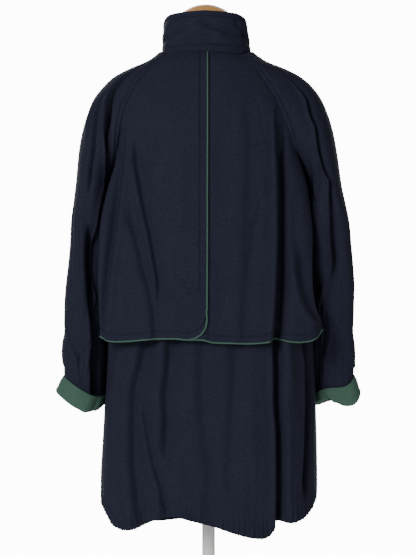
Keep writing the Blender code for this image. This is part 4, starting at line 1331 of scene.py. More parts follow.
@dataclass(frozen=True)
class WovenLinen(Finish):
    """Unbleached linen in plain weave over the form: crossing yarns with slubs, matte and warm.

    The yarns are 0.6 mm apart and are drawn at 1.8 mm so that they show.
    """

    name: str = "woven linen"
    low: str = "a59a83"
    high: str = "d6ccb6"
    yarn_mm: float = 1.8

    def pattern(self, tree: Tree, solid: Socket, cloth: Socket) -> Pattern:
        """Add warp and weft.

        Args:
            tree: The material's node tree.
            solid: Places in the object; not used.
            cloth: Places on the cloth, in metres.

        Returns:
            The pattern.
        """
        warp, weft = (
            add_node(tree, "TexWave",
                     {"bands_direction": way, "Scale": per_metre(self.yarn_mm) * BANDS, "Distortion": 0.8,
                      "Detail": 2.0}, {"Vector": cloth})
            for way in ("X", "Y")
        )
        weave = add_node(tree, "Math", {"operation": "MULTIPLY"},
                         {0: warp.outputs["Fac"], 1: weft.outputs["Fac"]})
        bump = add_node(tree, "Bump", {"Strength": 0.4, "Distance": 0.25 * MM},
                        {"Height": weave.outputs[0]})
        return Pattern(weave.outputs[0], {"Roughness": 0.9, "Sheen Weight": 0.15}, bump.outputs[0])


@dataclass(frozen=True)
class VarnishedBeech(Finish):
    """Beech, turned and clear varnished: pale honey wood with fine rays under a clear coat."""

    name: str = "varnished beech"
    low: str = "f0b266"
    high: str = "cf8c40"
    accent: str = "a86c2e"
    ring_mm: float = 5.0
    ray_mm: float = 1.6

    def pattern(self, tree: Tree, solid: Socket, cloth: Socket) -> Pattern:
        """Add the board's rings and rays.

        Args:
            tree: The material's node tree.
            solid: Places in the object.
            cloth: Places on the cloth, in metres; not used.

        Returns:
            The pattern.
        """
        # The board's grain runs along X, so the rings are stretched that way.
        lying = add_node(tree, "Mapping", {"Scale": (0.16, 1.0, 1.0), "Rotation": (0.0, 0.12, 0.1)},
                         {0: solid})
        rings = add_node(
            tree, "TexWave",
            {"bands_direction": "Y", "Scale": per_metre(self.ring_mm) * BANDS, "Distortion": 3.2,
             "Detail": 3.0, "Detail Scale": 1.2},
            {"Vector": lying.outputs[0]},
        )
        rays = add_node(tree, "TexNoise", {"Scale": per_metre(self.ray_mm), "Detail": 3.0},
                        {"Vector": lying.outputs[0]})
        dots = add_node(tree, "MapRange", {1: 0.58, 2: 0.74, 4: 0.55}, {0: rays.outputs[0]})
        bump = add_node(tree, "Bump", {"Strength": 0.06, "Distance": 0.2 * MM},
                        {"Height": rays.outputs[0]})
        settings = {
            "Roughness": 0.5, "IOR": 1.5, "Specular IOR Level": 0.3, "Coat Weight": 0.25,
            "Coat Roughness": 0.2,
        }
        return Pattern(rings.outputs["Fac"], settings, bump.outputs[0], dots.outputs[0])


@dataclass(frozen=True)
class PowderCoat(Finish):
    """White polyester powder coat on steel: satin, with a faint orange peel from its baking."""

    name: str = "white powder coat"
    low: str = "efefec"
    high: str = "f8f8f6"
    peel_mm: float = 1.6
    cloud_mm: float = 71.4

    def pattern(self, tree: Tree, solid: Socket, cloth: Socket) -> Pattern:
        """Add the orange peel and faint clouds of handling.

        Args:
            tree: The material's node tree.
            solid: Places in the object.
            cloth: Places on the cloth, in metres; not used.

        Returns:
            The pattern.
        """
        peel, wear = (
            add_node(tree, "TexNoise", {"Scale": per_metre(size), "Detail": detail}, {"Vector": solid})
            for size, detail in ((self.peel_mm, 1.0), (self.cloud_mm, 5.0))
        )
        bump = add_node(tree, "Bump", {"Strength": 0.10, "Distance": 0.12 * MM},
                        {"Height": peel.outputs[0]})
        return Pattern(wear.outputs[0], {"Roughness": 0.38, "IOR": 1.5}, bump.outputs[0])


@dataclass(frozen=True)
class StudioPaper(Finish):
    """Matte paper roll under the object: plain and pale."""

    name: str = "studio paper"
    low: str = "efefee"
    high: str = "f4f4f3"
    cloud_mm: float = 33.3

    def pattern(self, tree: Tree, solid: Socket, cloth: Socket) -> Pattern:
        """Add the fibres' clouds.

        Args:
            tree: The material's node tree.
            solid: Places in the object.
            cloth: Places on the cloth, in metres; not used.

        Returns:
            The pattern.
        """
        fibres = add_node(tree, "TexNoise", {"Scale": per_metre(self.cloud_mm), "Detail": 4.0},
                          {"Vector": solid})
        return Pattern(fibres.outputs[0], {"Roughness": 0.95, "Specular IOR Level": 0.1})


def made(finish: Finish) -> Material:
    """Return a field's default that builds a finish when the part is dressed."""
    return field(default_factory=finish.build)


@dataclass(frozen=True)
class Finishes:
    """Every finish of the part, built once."""

    navy: Material = made(FulledWool("navy fulled wool", "1f2131", "2b2d3b", "41434f"))
    green: Material = made(
        FulledWool("green fulled wool", "445e54", "4b6a5b", "668572", cloud_mm=30.0))
    navy_thread: Material = made(SewingThread("navy thread", "0b0c13", "181a28"))
    green_thread: Material = made(SewingThread("green thread", "35503f", "5c846d"))
    horn: Material = made(PolishedHorn())
    linen: Material = made(WovenLinen())
    beech: Material = made(VarnishedBeech())
    paint: Material = made(PowderCoat())


# Pieces of cloth

@dataclass(frozen=True)
class Cut:
    """A piece's flat size before it was sewn: width and length in metres, and area in square metres."""

    width: float
    length: float
    area: float


class Hold(Enum):
    """How a piece of cloth is held."""

    HUNG = "hung"
    GATHERED = "gathered"
    FOLDED = "folded"


@dataclass
class ClothPiece:
    """One piece of cloth of the coat, which takes the place of its CAD node."""

    node: str
    finishes: Finishes
    cut: Cut
    slot: Slot = Slot.NAVY
    hold: Hold = Hold.HUNG
    rests_on: tuple[str, ...] = ()
    thickness: float = CLOTH
    seam_width: float = 1.6        # the groove in which a seam lies
    seam_depth: float = 1.8
    grid: Grid = field(init=False)

    def __post_init__(self) -> None:
        """Work out the surface."""
        self.grid = self.surface()

    def surface(self) -> Grid:
        """Return the piece's outer surface."""
        raise NotImplementedError

    def stitch_lines(self) -> list[Line]:
        """Return the lines sewn on this piece, each as points and normals."""
        return []

    def build(self) -> None:
        """Make the piece and its sewing."""
        is_navy = self.slot is Slot.NAVY
        fabric = self.finishes.navy if is_navy else self.finishes.green
        thread = self.finishes.navy_thread if is_navy else self.finishes.green_thread
        item = link(shell("cloth_" + self.node, self.grid, self.thickness), fabric)
        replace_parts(item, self.node)
        stitches = [made for line in self.stitch_lines() for made in Stitch().along(*line)]
        if stitches:
            link(mesh_of("sewing_" + self.node, *join(stitches)), thread)
        rows, columns = self.grid.sizes()
        log.info("%s: %.3f by %.3f m, %.4f m2, %d stitches", self.node, rows[:, -1].max() * MM,
                 columns[-1].max() * MM, self.grid.area(), len(stitches))


def arc_points(
    left: Array, right: Array, edge_y: Array, depth: Array, edge_z: Array,
    centre_z: Array, arc: Array, shares: Array,
) -> Array:
    """Return rows across the back or front, each an arc from its middle to its edges.

    Args:
        left: Half widths to the left, one for each row, as a column.
        right: Half widths to the right.
        edge_y: Depths of the edges, with their sign.
        depth: Depths of the middle, with their sign.
        edge_z: Heights of the edges.
        centre_z: Heights of the middle.
        arc: How much of a circle half a row turns through, in degrees.
        shares: Places across, from -1, the left edge, to 1, the right one.

    Returns:
        Rows of points.
    """
    turn = np.radians(arc)
    size = np.abs(shares)
    half = np.where(shares < 0.0, left, right)
    x = np.sign(shares) * half * np.sin(size * turn) / np.sin(turn)
    drop = (1.0 - np.cos(size * turn)) / (1.0 - np.cos(turn))
    y = depth + (edge_y - depth) * drop
    z = centre_z + (edge_z - centre_z) * shares ** 2
    return np.stack([x, y, z], axis=-1)


def ring_points(z: Array, shares: Array, is_back: bool) -> Array:
    """Return points of the body's rings below the underarm, each at its own height.

    Args:
        z: Heights.
        shares: Places across, -1 to 1, in the shape of z.
        is_back: The back's half of the rings, or the front's.

    Returns:
        The points.
    """
    left, right, back, front, square = read(BODY_RINGS, "left right back front square", z, "z")
    half = np.where(shares < 0.0, left, right)
    depth = -back if is_back else front
    turn = shares * math.pi / 2.0
    x = half * np.sign(np.sin(turn)) * np.abs(np.sin(turn)) ** (2.0 / square)
    y = depth * np.abs(np.cos(turn)) ** (2.0 / square)
    return np.stack([x, y, z], axis=-1)


def skirt_points(down: Array, shares: Array, is_back: bool) -> Array:
    """Return rows of the back or front between the underarm and the hem.

    Args:
        down: Shares of the way down, as a column.
        shares: Places across, -1 to 1, one row for each of down.
        is_back: The back or the front.

    Returns:
        Rows of points.
    """
    x = ring_points(np.full(shares.shape, BODY_RINGS[-1].z), shares, is_back)[..., 0]
    hem, = read(HEM_BACK if is_back else HEM_FRONT, "z", x, "x")
    return ring_points(UNDERARM_Z + (hem - UNDERARM_Z) * down, shares, is_back)


@dataclass
class GatheredHem:
    """The elastic casing at the hem: small uneven gathers that die out above it."""

    pitch: float = 10.2
    depth: float = 1.9
    start: float = 0.90
    full: float = 0.982
    seed: int = 5

    def height(self, down: Array, along: Array) -> Array:
        """Return how far out each point stands.

        Args:
            down: Shares of the way down to the hem.
            along: Lengths along the hem.

        Returns:
            Heights, crests and hollows.
        """
        uneven = undulation(along, np.zeros_like(along), 46.0, self.seed)
        phase = along / self.pitch + 0.28 * undulation(along, np.zeros_like(along), 64.0, self.seed + 1)
        reach = np.clip((down - self.start) / (self.full - self.start), 0.0, 1.0) ** 1.7
        crest = np.sin(2.0 * math.pi * phase)
        long_wave = 0.5 * np.sin(math.pi * phase + 1.0) * np.clip((down - 0.84) / 0.12, 0.0, 1.0) ** 1.5
        return self.depth * (reach * crest * (0.85 + 0.2 * uneven) + 0.55 * long_wave)


@dataclass
class BackPanel(ClothPiece):
    """The back: one panel from the neck seam, behind the cape, down to the gathered hem."""

    columns: int = 264
    raglan_rows: int = 32
    down_rows: tuple = ((0.40, 13), (HEM_SHARE, 83), (1.0, 27))     # few behind the cape
    cape_hem_z: float = 905.0
    seam_share: float = 0.03
    sideways: float = 0.4
    casing: float = 24.0           # the elastic's seam above the hem
    hem: GatheredHem = field(default_factory=GatheredHem)

    def surface(self) -> Grid:
        """Return the back's outer surface.

        Returns:
            The surface as a grid.
        """
        shares = np.linspace(-1.0, 1.0, self.columns + 1)[None, :]
        level = np.linspace(0.0, UNDERARM_LEVEL, self.raglan_rows)[:, None]
        left, right, edge_y, depth, edge_z, centre_z, arc = read(
            BACK_LEVELS, "left right y depth z centre_z arc", level)
        upper = arc_points(left, right, edge_y, -depth, edge_z, centre_z, arc, shares)
        down = steps_down(*self.down_rows)
        lower = skirt_points(down, np.broadcast_to(shares, (len(down), shares.shape[1])), True)
        grid = Grid(np.vstack([upper, lower]))
        x, z = grid.points[..., 0], grid.points[..., 2]
        skirt = folded(SKIRT_FOLDS, SKIRT_CREASES, z, x) + 0.7 * undulation(x, z * 0.55, 90.0, 11)
        below_cape = smooth_step((self.cape_hem_z - z) / 30.0)
        folds = skirt * below_cape + fold_height(UNDER_CAPE_FOLDS, z, x, FOLD_FADE) * (1.0 - below_cape)
        along, from_top = grid.sizes()
        gathers = self.hem.height(np.pad(down, ((len(upper), 0), (0, 0))), along)
        free = AT_SEAM + (1.0 - AT_SEAM) * smooth_step((1.0 - np.abs(shares)) / self.seam_share)
        casing = groove(from_top[-1:] - from_top - self.casing, 2.2, 0.5)
        grid.press((folds + gathers) * free - casing, self.sideways)
        return grid

    def stitch_lines(self) -> list[Line]:
        """Return the casing's seam above the hem."""
        return [self.grid.line_above_end(np.arange(3, self.columns - 2), self.casing)]


@dataclass
class FrontPanel(ClothPiece):
    """One front, from the side seam past the middle to its edge; the right one lies on top."""

    side: Side = Side.LEFT
    columns: int = 128
    raglan_rows: int = 44
    down_rows: tuple = ((HEM_SHARE, 119), (1.0, 27))
    lap: float = 22.0
    lap_ramp: float = 46.0
    lap_rise: float = 3.6
    smooth_z: float = 1330.0       # the shoulder lies smooth above this height
    seam_share: float = 0.05
    gather_free: float = 34.0
    casing: float = 24.0
    edge_seam: float = 9.0
    raglan_seam: float = 5.0
    hem: GatheredHem = field(default_factory=lambda: GatheredHem(seed=21))

    def across(self, half: Array, arc: Values, square: Values) -> Array:
        """Return each row's places across, from the side seam to the lapped edge past the middle.

        Args:
            half: Half widths of the rows, as a column.
            arc: How much of a circle half a row turns through, in degrees.
            square: The rows' corner exponents.

        Returns:
            Rows of places, -1 to 1 from seam to seam.
        """
        turn = np.radians(arc)
        past = np.arcsin((self.lap / half) ** (square / 2.0) * np.sin(turn)) / turn
        low, high = (-past, 1.0) if self.side is Side.RIGHT else (-1.0, past)
        return high + (low - high) * np.linspace(0.0, 1.0, self.columns + 1)[None, :]

    def surface(self) -> Grid:
        """Return the front's outer surface.

        Returns:
            The surface as a grid.
        """
        level = np.linspace(0.0, UNDERARM_LEVEL, self.raglan_rows)[:, None]
        half, edge_y, depth, edge_z, centre_z, arc = read(FRONT_LEVELS, "x y depth z centre_z arc", level)
        shares = self.across(half, arc, 2.0)
        upper = arc_points(half, half, edge_y, depth, edge_z, centre_z, arc, shares)
        down = steps_down(*self.down_rows)
        middle = UNDERARM_Z + (HEM_FRONT[len(HEM_FRONT) // 2].z - UNDERARM_Z) * down
        half, square = read(BODY_RINGS, self.side.value + " square", middle, "z")
        lower_shares = self.across(half, 90.0, square)
        grid = Grid(np.vstack([upper, skirt_points(down, lower_shares, False)]))
        x, z = grid.points[..., 0], grid.points[..., 2]
        folds = folded(FRONT_FOLDS, FRONT_CREASES, z, x)
        folds = folds + 0.6 * undulation(x, z * 0.55, 95.0, 31) * smooth_step((self.smooth_z - z) / 120.0)
        seam = smooth_step((1.0 - np.abs(np.vstack([shares, lower_shares]))) / self.seam_share)
        free = AT_SEAM + (1.0 - AT_SEAM) * seam
        lap = self.side.pick(0.0, self.lap_rise) * smooth_step(1.0 - (x - self.lap) / self.lap_ramp)
        off_middle = smooth_step((np.abs(x) - self.gather_free) / self.gather_free)
        gathers = self.hem.height(np.pad(down, ((len(upper), 0), (0, 0))), grid.sizes()[0]) * off_middle
        grid.press((folds + gathers) * free + lap)
        return grid

    def stitch_lines(self) -> list[Line]:
        """Return the casing's seam, the edge's topstitching and the raglan seam's.

        Returns:
            Each line's points and ways out.
        """
        edge_first = self.side is Side.LEFT
        return [
            self.grid.line_above_end(np.arange(3, self.columns - 2), self.casing),
            self.grid.line_beside_end(np.arange(2, len(self.grid.points) - 12), self.edge_seam, edge_first),
            self.grid.line_beside_end(np.arange(1, self.raglan_rows - 1), self.raglan_seam, not edge_first),
        ]


@dataclass
class RaglanSleeve(ClothPiece):
    """One sleeve, cut with the shoulder, from the neck seam to its end inside the cuff."""

    side: Side = Side.LEFT
    columns: int = 220
    arc_rows: int = 95
    ring_rows: int = 124
    end_rows: int = 11
    end_powers: tuple[float, float, float] = (4.5, 4.5, 1.0)     # how late it draws in, along X, Y and Z
    end_rise: float = -1.0         # the sleeve ends between the cuff's two walls
    gather_pitch: float = 19.0
    gather_depth: float = 0.6
    topstitch: float = 9.0         # from the raglan seam
    smooth_z: float = 1340.0       # the shoulder lies smooth above this height
    flatter_over: float = 90.0     # the height below the underarm over which the section grows flatter
    seam_share: float = 0.10

    def top_arc(self, level: Array, shares: Array) -> Array:
        """Return the sleeve's arcs over the shoulder, from seam to seam.

        Args:
            level: Levels, as a column.
            shares: Places round, as a row: -1 is the back seam and 1 the front one.

        Returns:
            Rows of points.
        """
        side, sign = self.side.value, self.side.sign
        outer, top_z, half_width, half_depth, turn = read(
            TOP_LEVELS, side + " z half_width half_depth turn", level)

        def oval(share: Array) -> Array:
            """Return points of each level's oval.

            Args:
                share: The share of the arc, -1 at the back.

            Returns:
                One point at each share.
            """
            angle = share * np.radians(turn)
            x = sign * (outer - half_width) + sign * half_width * np.cos(angle)
            return np.stack([x, half_depth * np.sin(angle), np.broadcast_to(top_z, x.shape)], axis=-1)

        points = oval(shares)
        for end, table, columns in ((-1.0, BACK_LEVELS, side + " y z"), (1.0, FRONT_LEVELS, "x y z")):
            x, y, z = read(table, columns, level)
            weight = np.clip(shares * end, 0.0, 1.0)[..., None] ** 2
            points = points + weight * (np.stack([sign * x, y, z], axis=-1) - oval(np.full((1, 1), end)))
        return points

    def rings(self, place: Array, shares: Array) -> Array:
        """Return the sleeve's rings below the underarm.

        Args:
            place: Numbers of rings, whole or between, as a column.
            shares: Places round, as a row.

        Returns:
            Rows of points.
        """
        ring_z, inner, outer, centre_y, half_depth, tilt = read(
            SLEEVE_RINGS[self.side], "z inner outer centre_y half_depth tilt", place)
        angle = shares * math.pi
        half_width = (outer - inner) / 2.0
        square = 2.0 + (FLATNESS[self.side] - 2.0) * smooth_step((UNDERARM_Z - ring_z) / self.flatter_over)
        x = (outer + inner) / 2.0 + half_width * np.cos(angle)
        y = centre_y + half_depth * flat_oval(angle, square)
        return np.stack([self.side.sign * x, y, ring_z + tilt * half_width * np.cos(angle)], axis=-1)

    def surface(self) -> Grid:
        """Return the sleeve's outer surface.

        Returns:
            The surface as a grid.
        """
        shares = np.linspace(1.0, -1.0, self.columns + 1)[None, ::int(self.side.pick(1, -1))]
        level = np.linspace(0.0, UNDERARM_LEVEL, self.arc_rows + 1)[:-1, None]
        upper = self.top_arc(level, shares)
        ring = np.linspace(0.0, len(SLEEVE_RINGS[self.side]) - 1, self.ring_rows)[:, None]
        lower = self.rings(ring, shares)
        end = TurnedCuff.ring(
            self.side, CUFF_RINGS[self.side][-1], CUFF_FOLD[-1].inset - CLOTH, self.end_rise, shares[0])
        steps = np.linspace(0.0, 1.0, self.end_rows + 1)[1:, None, None]
        drawn_in = lower[-1] + (end - lower[-1]) * steps ** np.array(self.end_powers)
        grid = Grid(np.vstack([upper, lower, drawn_in]))
        z = grid.points[..., 2]
        share = np.broadcast_to(shares, z.shape)
        below = np.arange(len(z))[:, None] >= len(upper)
        by_level = np.pad(level, ((0, len(z) - len(level)), (0, 0)), constant_values=UNDERARM_LEVEL)
        folds = folded(SLEEVE_FOLDS[self.side], SLEEVE_CREASES[self.side], z, share, SLEEVE_HALF_GIRTH)
        uneven = undulation(np.sin(share * math.pi) * 60.0, z * 0.7, 80.0, int(self.side.pick(41, 47)))
        folds = folds + 0.7 * uneven * smooth_step((self.smooth_z - z) / 120.0)
        inside = 1.0 - smooth_step((np.abs(share) - 1.0 + self.seam_share) / self.seam_share)
        folds = folds * np.where(below, 1.0, inside)
        # At its back seam the sleeve rises to the cape, which is sewn into the same seam.
        on_cape = np.clip(CAPE_TOP_LEVELS + 1 - by_level, 0.0, 1.0)
        folds = folds + LAYER * smooth_step((-share - 0.62) / 0.38) * on_cape
        folds = folds + self.gathers(z, share) * below
        folds[-len(steps):] *= (1.0 - steps[:, :, 0]) ** 3
        across, down = grid.sizes()
        from_seam = np.minimum(across, across[:, -1:] - across)
        sewn = groove(from_seam, self.seam_width, self.seam_depth)
        sewn = sewn + groove(from_seam - self.topstitch, 1.6, 2.0)
        folds = folds - sewn * smooth_step(CAPE_TOP_LEVELS + 1.5 - by_level)
        grid.press(folds - groove(down, self.seam_width, self.seam_depth))
        return grid

    def gathers(self, z: Array, share: Array) -> Array:
        """Return the gathers just above the cuff.

        Args:
            z: Height.
            share: The share of the way round.

        Returns:
            Their height at each point.
        """
        end = SLEEVE_RINGS[self.side][-1].z
        along = share * SLEEVE_HALF_GIRTH
        uneven = undulation(along, z * 0.4, 90.0, int(self.side.pick(61, 67)))
        reach = smooth_step((end + 52.0 - z) / 60.0) * smooth_step((z - end + 26.0) / 20.0)
        return self.gather_depth * reach * np.sin(2.0 * math.pi * (along / self.gather_pitch + 0.3 * uneven))

    def stitch_lines(self) -> list[Line]:
        """Return the raglan seams' topstitching on the sleeve."""
        rows = np.arange(1, self.arc_rows - 1)
        return [self.grid.line_beside_end(rows, self.topstitch, at_start) for at_start in (True, False)]


@dataclass
class TurnedCuff(ClothPiece):
    """The sleeve's green facing, turned back to the outside, down to its fold and up inside."""

    side: Side = Side.LEFT
    columns: int = 150
    rows: int = 54
    seam_row: float = 3.2

    @staticmethod
    def ring(side: Side, ring: CuffRing, inset: float, rise: float, shares: Array) -> Array:
        """Return one ring of a cuff, drawn in on all sides and raised.

        Args:
            side: The cuff's side.
            ring: Its sizes.
            inset: How far in.
            rise: How far up.
            shares: Places round.

        Returns:
            A row of points.
        """
        angle = shares * math.pi
        half_width = (ring.outer - ring.inner) / 2.0 - inset
        x = (ring.outer + ring.inner) / 2.0 + half_width * np.cos(angle)
        y = ring.centre_y + (ring.half_depth - inset) * flat_oval(angle, FLATNESS[side])
        facing = ((1.0 - np.cos(angle)) / 2.0) ** 4
        z = ring.z + rise + ring.tilt * half_width * np.cos(angle) + ring.lift * facing
        z = z + ring.bend * np.maximum(np.cos(angle), 0.0) ** 3
        z = z + ring.wave * np.sin(shares * math.pi * 2.0) * np.where(shares < 0.0, 1.0, 0.3)
        return np.stack([side.sign * x, y, z], axis=-1)

    def surface(self) -> Grid:
        """Return the cuff's outer surface, down its outside and up its inside.

        Returns:
            The surface as a grid.
        """
        shares = np.linspace(1.0, -1.0, self.columns + 1)[::int(self.side.pick(1, -1))]
        rings = CUFF_RINGS[self.side]
        keys = [self.ring(self.side, ring, 0.0, 0.0, shares) for ring in rings]
        keys += [self.ring(self.side, rings[-1], point.inset, point.rise, shares) for point in CUFF_FOLD]
        stacked = np.array(keys)
        steps = np.linalg.norm(np.diff(stacked, axis=0), axis=2).mean(axis=1)
        run = np.concatenate([[0.0], np.cumsum(steps)])
        at = np.linspace(0.0, run[-1], self.rows + 1)
        # Each column is a smooth curve through its ring points.
        flat = stacked.reshape(len(keys), -1)
        points = np.stack([curve(run, flat[:, number], at) for number in range(flat.shape[1])], axis=1)
        grid = Grid(points.reshape(len(at), len(shares), 3), closed=True)
        share = np.broadcast_to(shares, grid.points.shape[:2])
        down = np.broadcast_to((at / run[-1])[:, None], share.shape)
        waves = 0.9 * undulation(share * SLEEVE_HALF_GIRTH, down * 60.0, 62.0, int(self.side.pick(71, 77)))
        for dent in CUFF_DENTS[self.side]:
            waves = waves + groove(share - dent.share - dent.slant * down, dent.width, dent.height)
        # The waves are on the outside and die out before the fold.
        grid.press(waves * smooth_step((0.80 - down) / 0.15) * smooth_step((down + 0.05) / 0.2))
        return grid

    def stitch_lines(self) -> list[Line]:
        """Return the seam just below the cuff's free edge."""
        columns = np.arange(1, self.columns)
        return [self.grid.sample(np.full(len(columns), self.seam_row), columns)]


@dataclass
class CapeHalf(ClothPiece):
    """One half of the storm cape, sewn in at the neck and raglan seams and free below."""

    side: Side = Side.LEFT
    columns: int = 160
    seam_rows: int = 59
    down_rows: tuple = ((HEM_SHARE, 107), (1.0, 25))
    edge: float = -3.0             # where its middle edge lies
    rise_start: float = -96.0      # the left half rises over the right one between these places
    rise_end: float = -52.0
    hem_seam: float = 12.5
    centre_seam: float = -15.5
    pucker: float = 11.0
    raglan_seam: float = 5.0
    bar_z: float = 964.0           # the bar tack that ends the middle seam, and where it starts
    bar_start: float = -36.0
    dip: float = 0.6               # where the right half is pressed down beside the left one's edge

    def sizes_at(self, level: Array, z: Array) -> list[Array]:
        """Read the cape's left, right, y, depth and arc.

        Args:
            level: Levels of the raglan seam, for what is sewn into it.
            z: Heights, for what hangs below it.

        Returns:
            Each size as a column.
        """
        names = "left right y depth arc"
        above = read(BACK_LEVELS, names, level)
        above[3] = above[3] + curve(range(len(CAPE_ROOM)), CAPE_ROOM, level)
        below = read(CAPE_DROPS, names, z, "z")
        return [np.where(level < CAPE_TOP_LEVELS, high, low) for high, low in zip(above, below)]

    def surface(self) -> Grid:
        """Return the cape half's outer surface.

        Returns:
            The surface as a grid.
        """
        is_left = self.side is Side.LEFT
        top_z = CAPE_DROPS[0].z
        down = np.pad(steps_down(*self.down_rows), ((self.seam_rows + 1, 0), (0, 0)))
        level = np.full(down.shape, float(CAPE_TOP_LEVELS))
        level[:self.seam_rows, 0] = np.linspace(0.0, CAPE_TOP_LEVELS, self.seam_rows + 1)[:-1]
        left, right, edge_y, depth, arc = self.sizes_at(level, top_z + (CAPE_DROPS[-1].z - top_z) * down)
        turn = np.radians(arc)
        middle = np.arcsin(self.edge * np.sin(turn) / left) / turn
        low, high = (-1.0, middle) if is_left else (middle, 1.0)
        steps = np.linspace(0.0, 1.0, self.columns + 1)[None, :]
        if is_left:
            steps = 1.0 - (1.0 - steps) ** 1.5     # closer columns where it laps over
        shares = low + (high - low) * steps
        seam_z, centre_z = read(BACK_LEVELS, "z centre_z", level)
        points = arc_points(left, right, edge_y, -depth, seam_z, centre_z, arc, shares)
        hem, = read(CAPE_HEM[self.side], "z", points[..., 0], "x")
        points[..., 2] = np.where(level < CAPE_TOP_LEVELS, points[..., 2], top_z + (hem - top_z) * down)
        grid = Grid(points)
        grid.press(LAYER * (1.0 + self.side.pick(1.0, 0.0) * smooth_step(
            (points[..., 0] - self.rise_start) / (self.rise_end - self.rise_start))))
        grid.press(self.relief(grid, points, shares, level), self.side.pick(0.35, 0.1))
        return grid

    def relief(self, grid: Grid, points: Array, shares: Array, level: Array) -> Array:
        """Return the folds and the sewing's grooves.

        Args:
            grid: The cape half, raised by its layers; not used.
            points: Its points before that.
            shares: Their places across.
            level: Levels of the raglan seam.

        Returns:
            How far out each point moves.
        """
        x, z = points[..., 0], points[..., 2]
        folds = folded(CAPE_FOLDS, CAPE_CREASES, z, x) * smooth_step((CAPE_FOLD_TOP + 30.0 - z) / 60.0)
        folds = folds + 0.6 * undulation(x, z * 0.6, 85.0, 91) * smooth_step((1.0 - np.abs(shares)) / 0.08)
        across, below = Grid(points).sizes()
        from_hem = below[-1:] - below
        from_seam = across if self.side is Side.LEFT else across[:, -1:] - across
        folds = folds - groove(from_seam, self.seam_width, self.seam_depth) * (level < CAPE_TOP_LEVELS)
        folds = folds - groove(below, self.seam_width, self.seam_depth)
        from_stitches = from_hem - self.hem_seam
        pucker = undulation(across, from_hem * 0.4, self.pucker, 95) * groove(from_stitches, 9.0, 0.35)
        folds = folds - groove(from_stitches, 1.8, 1.9) + pucker
        if self.side is Side.RIGHT:
            return folds - groove(x - self.dip, 2.6, 3.2)
        folds = folds - groove(x - self.centre_seam, 1.8, 1.9) * smooth_step((z - self.bar_z) / 4.0 + 1.0)
        bar = smooth_step((x - self.bar_start) / 3.0) * smooth_step((self.centre_seam - x) / 3.0 + 1.0)
        return folds - groove(z - self.bar_z, 2.2, 2.6) * bar

    def stitch_lines(self) -> list[Line]:
        """Return the hem's, the raglan seam's and the middle's topstitching.

        Returns:
            Each line's points and ways out.
        """
        is_left = self.side is Side.LEFT
        last = int(self.grid.column_at_x(-1, self.centre_seam)) if is_left else self.columns - 1
        lines = [
            self.grid.line_above_end(np.arange(2, last), self.hem_seam),
            self.grid.line_beside_end(np.arange(1, self.seam_rows - 1), self.raglan_seam, is_left),
        ]
        if is_left:
            rows = np.arange(1, len(self.grid.points) - 1)
            rows = rows[self.grid.points[rows, -1, 2] > self.bar_z]
            middle = np.array([self.grid.column_at_x(row, self.centre_seam) for row in rows])
            lines.append(self.grid.sample(rows, middle))
            bar = np.linspace(middle[-1], self.columns - 2.0, 12)
            lines.append(self.grid.sample(np.full(12, float(rows[-1])), bar))
        return lines


@dataclass
class Piping:
    """Green piping: a cord in a bias strip, sewn into the cape's middle edge and hem."""

    cape: CapeHalf
    finishes: Finishes
    radius: float = 1.65
    stand_off: float = 1.0
    sides: int = 12

    def build(self) -> None:
        """Make the piping round the cape half's free edges."""
        grid = self.cape.grid
        last, hem = len(grid.points) - 1, np.arange(self.cape.columns + 1)
        rows, columns = np.full(len(hem), last), hem
        before = grid.points[last - 1, columns]
        if self.cape.side is Side.LEFT:
            # It runs down the middle edge first and then along the hem.
            edge = np.arange(last)
            before = np.vstack([grid.points[edge, -2], before[::-1]])
            rows = np.concatenate([edge, rows])
            columns = np.concatenate([np.full(last, self.cape.columns), columns[::-1]])
        normals = grid.normals[rows, columns]
        centre = grid.points[rows, columns] - normals * CLOTH / 2.0
        away = grid.points[rows, columns] - before
        along = unit(np.gradient(centre, axis=0))
        away = unit(away - along * np.sum(away * along, axis=1, keepdims=True))
        path = centre + away * self.stand_off
        keep = np.append(True, np.diff(lengths(path)) > 0.15)     # without points that coincide
        path = self.smoothed(path[keep])
        name = "piping_" + self.cape.side.value
        mesh = mesh_of("cord_" + name, *tube(path, normals[keep], self.radius, self.sides))
        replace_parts(link(mesh, self.finishes.green), name)
        log.info("%s: %.3f m", name, lengths(path)[-1] * MM)

    @staticmethod
    def smoothed(path: Array) -> Array:
        """Even out a path's small corners and keep its ends.

        Args:
            path: Its points.

        Returns:
            As many points.
        """
        for _ in range(6):
            path = np.vstack([path[:1], (path[:-2] + 2.0 * path[1:-1] + path[2:]) / 4.0, path[-1:]])
        return path


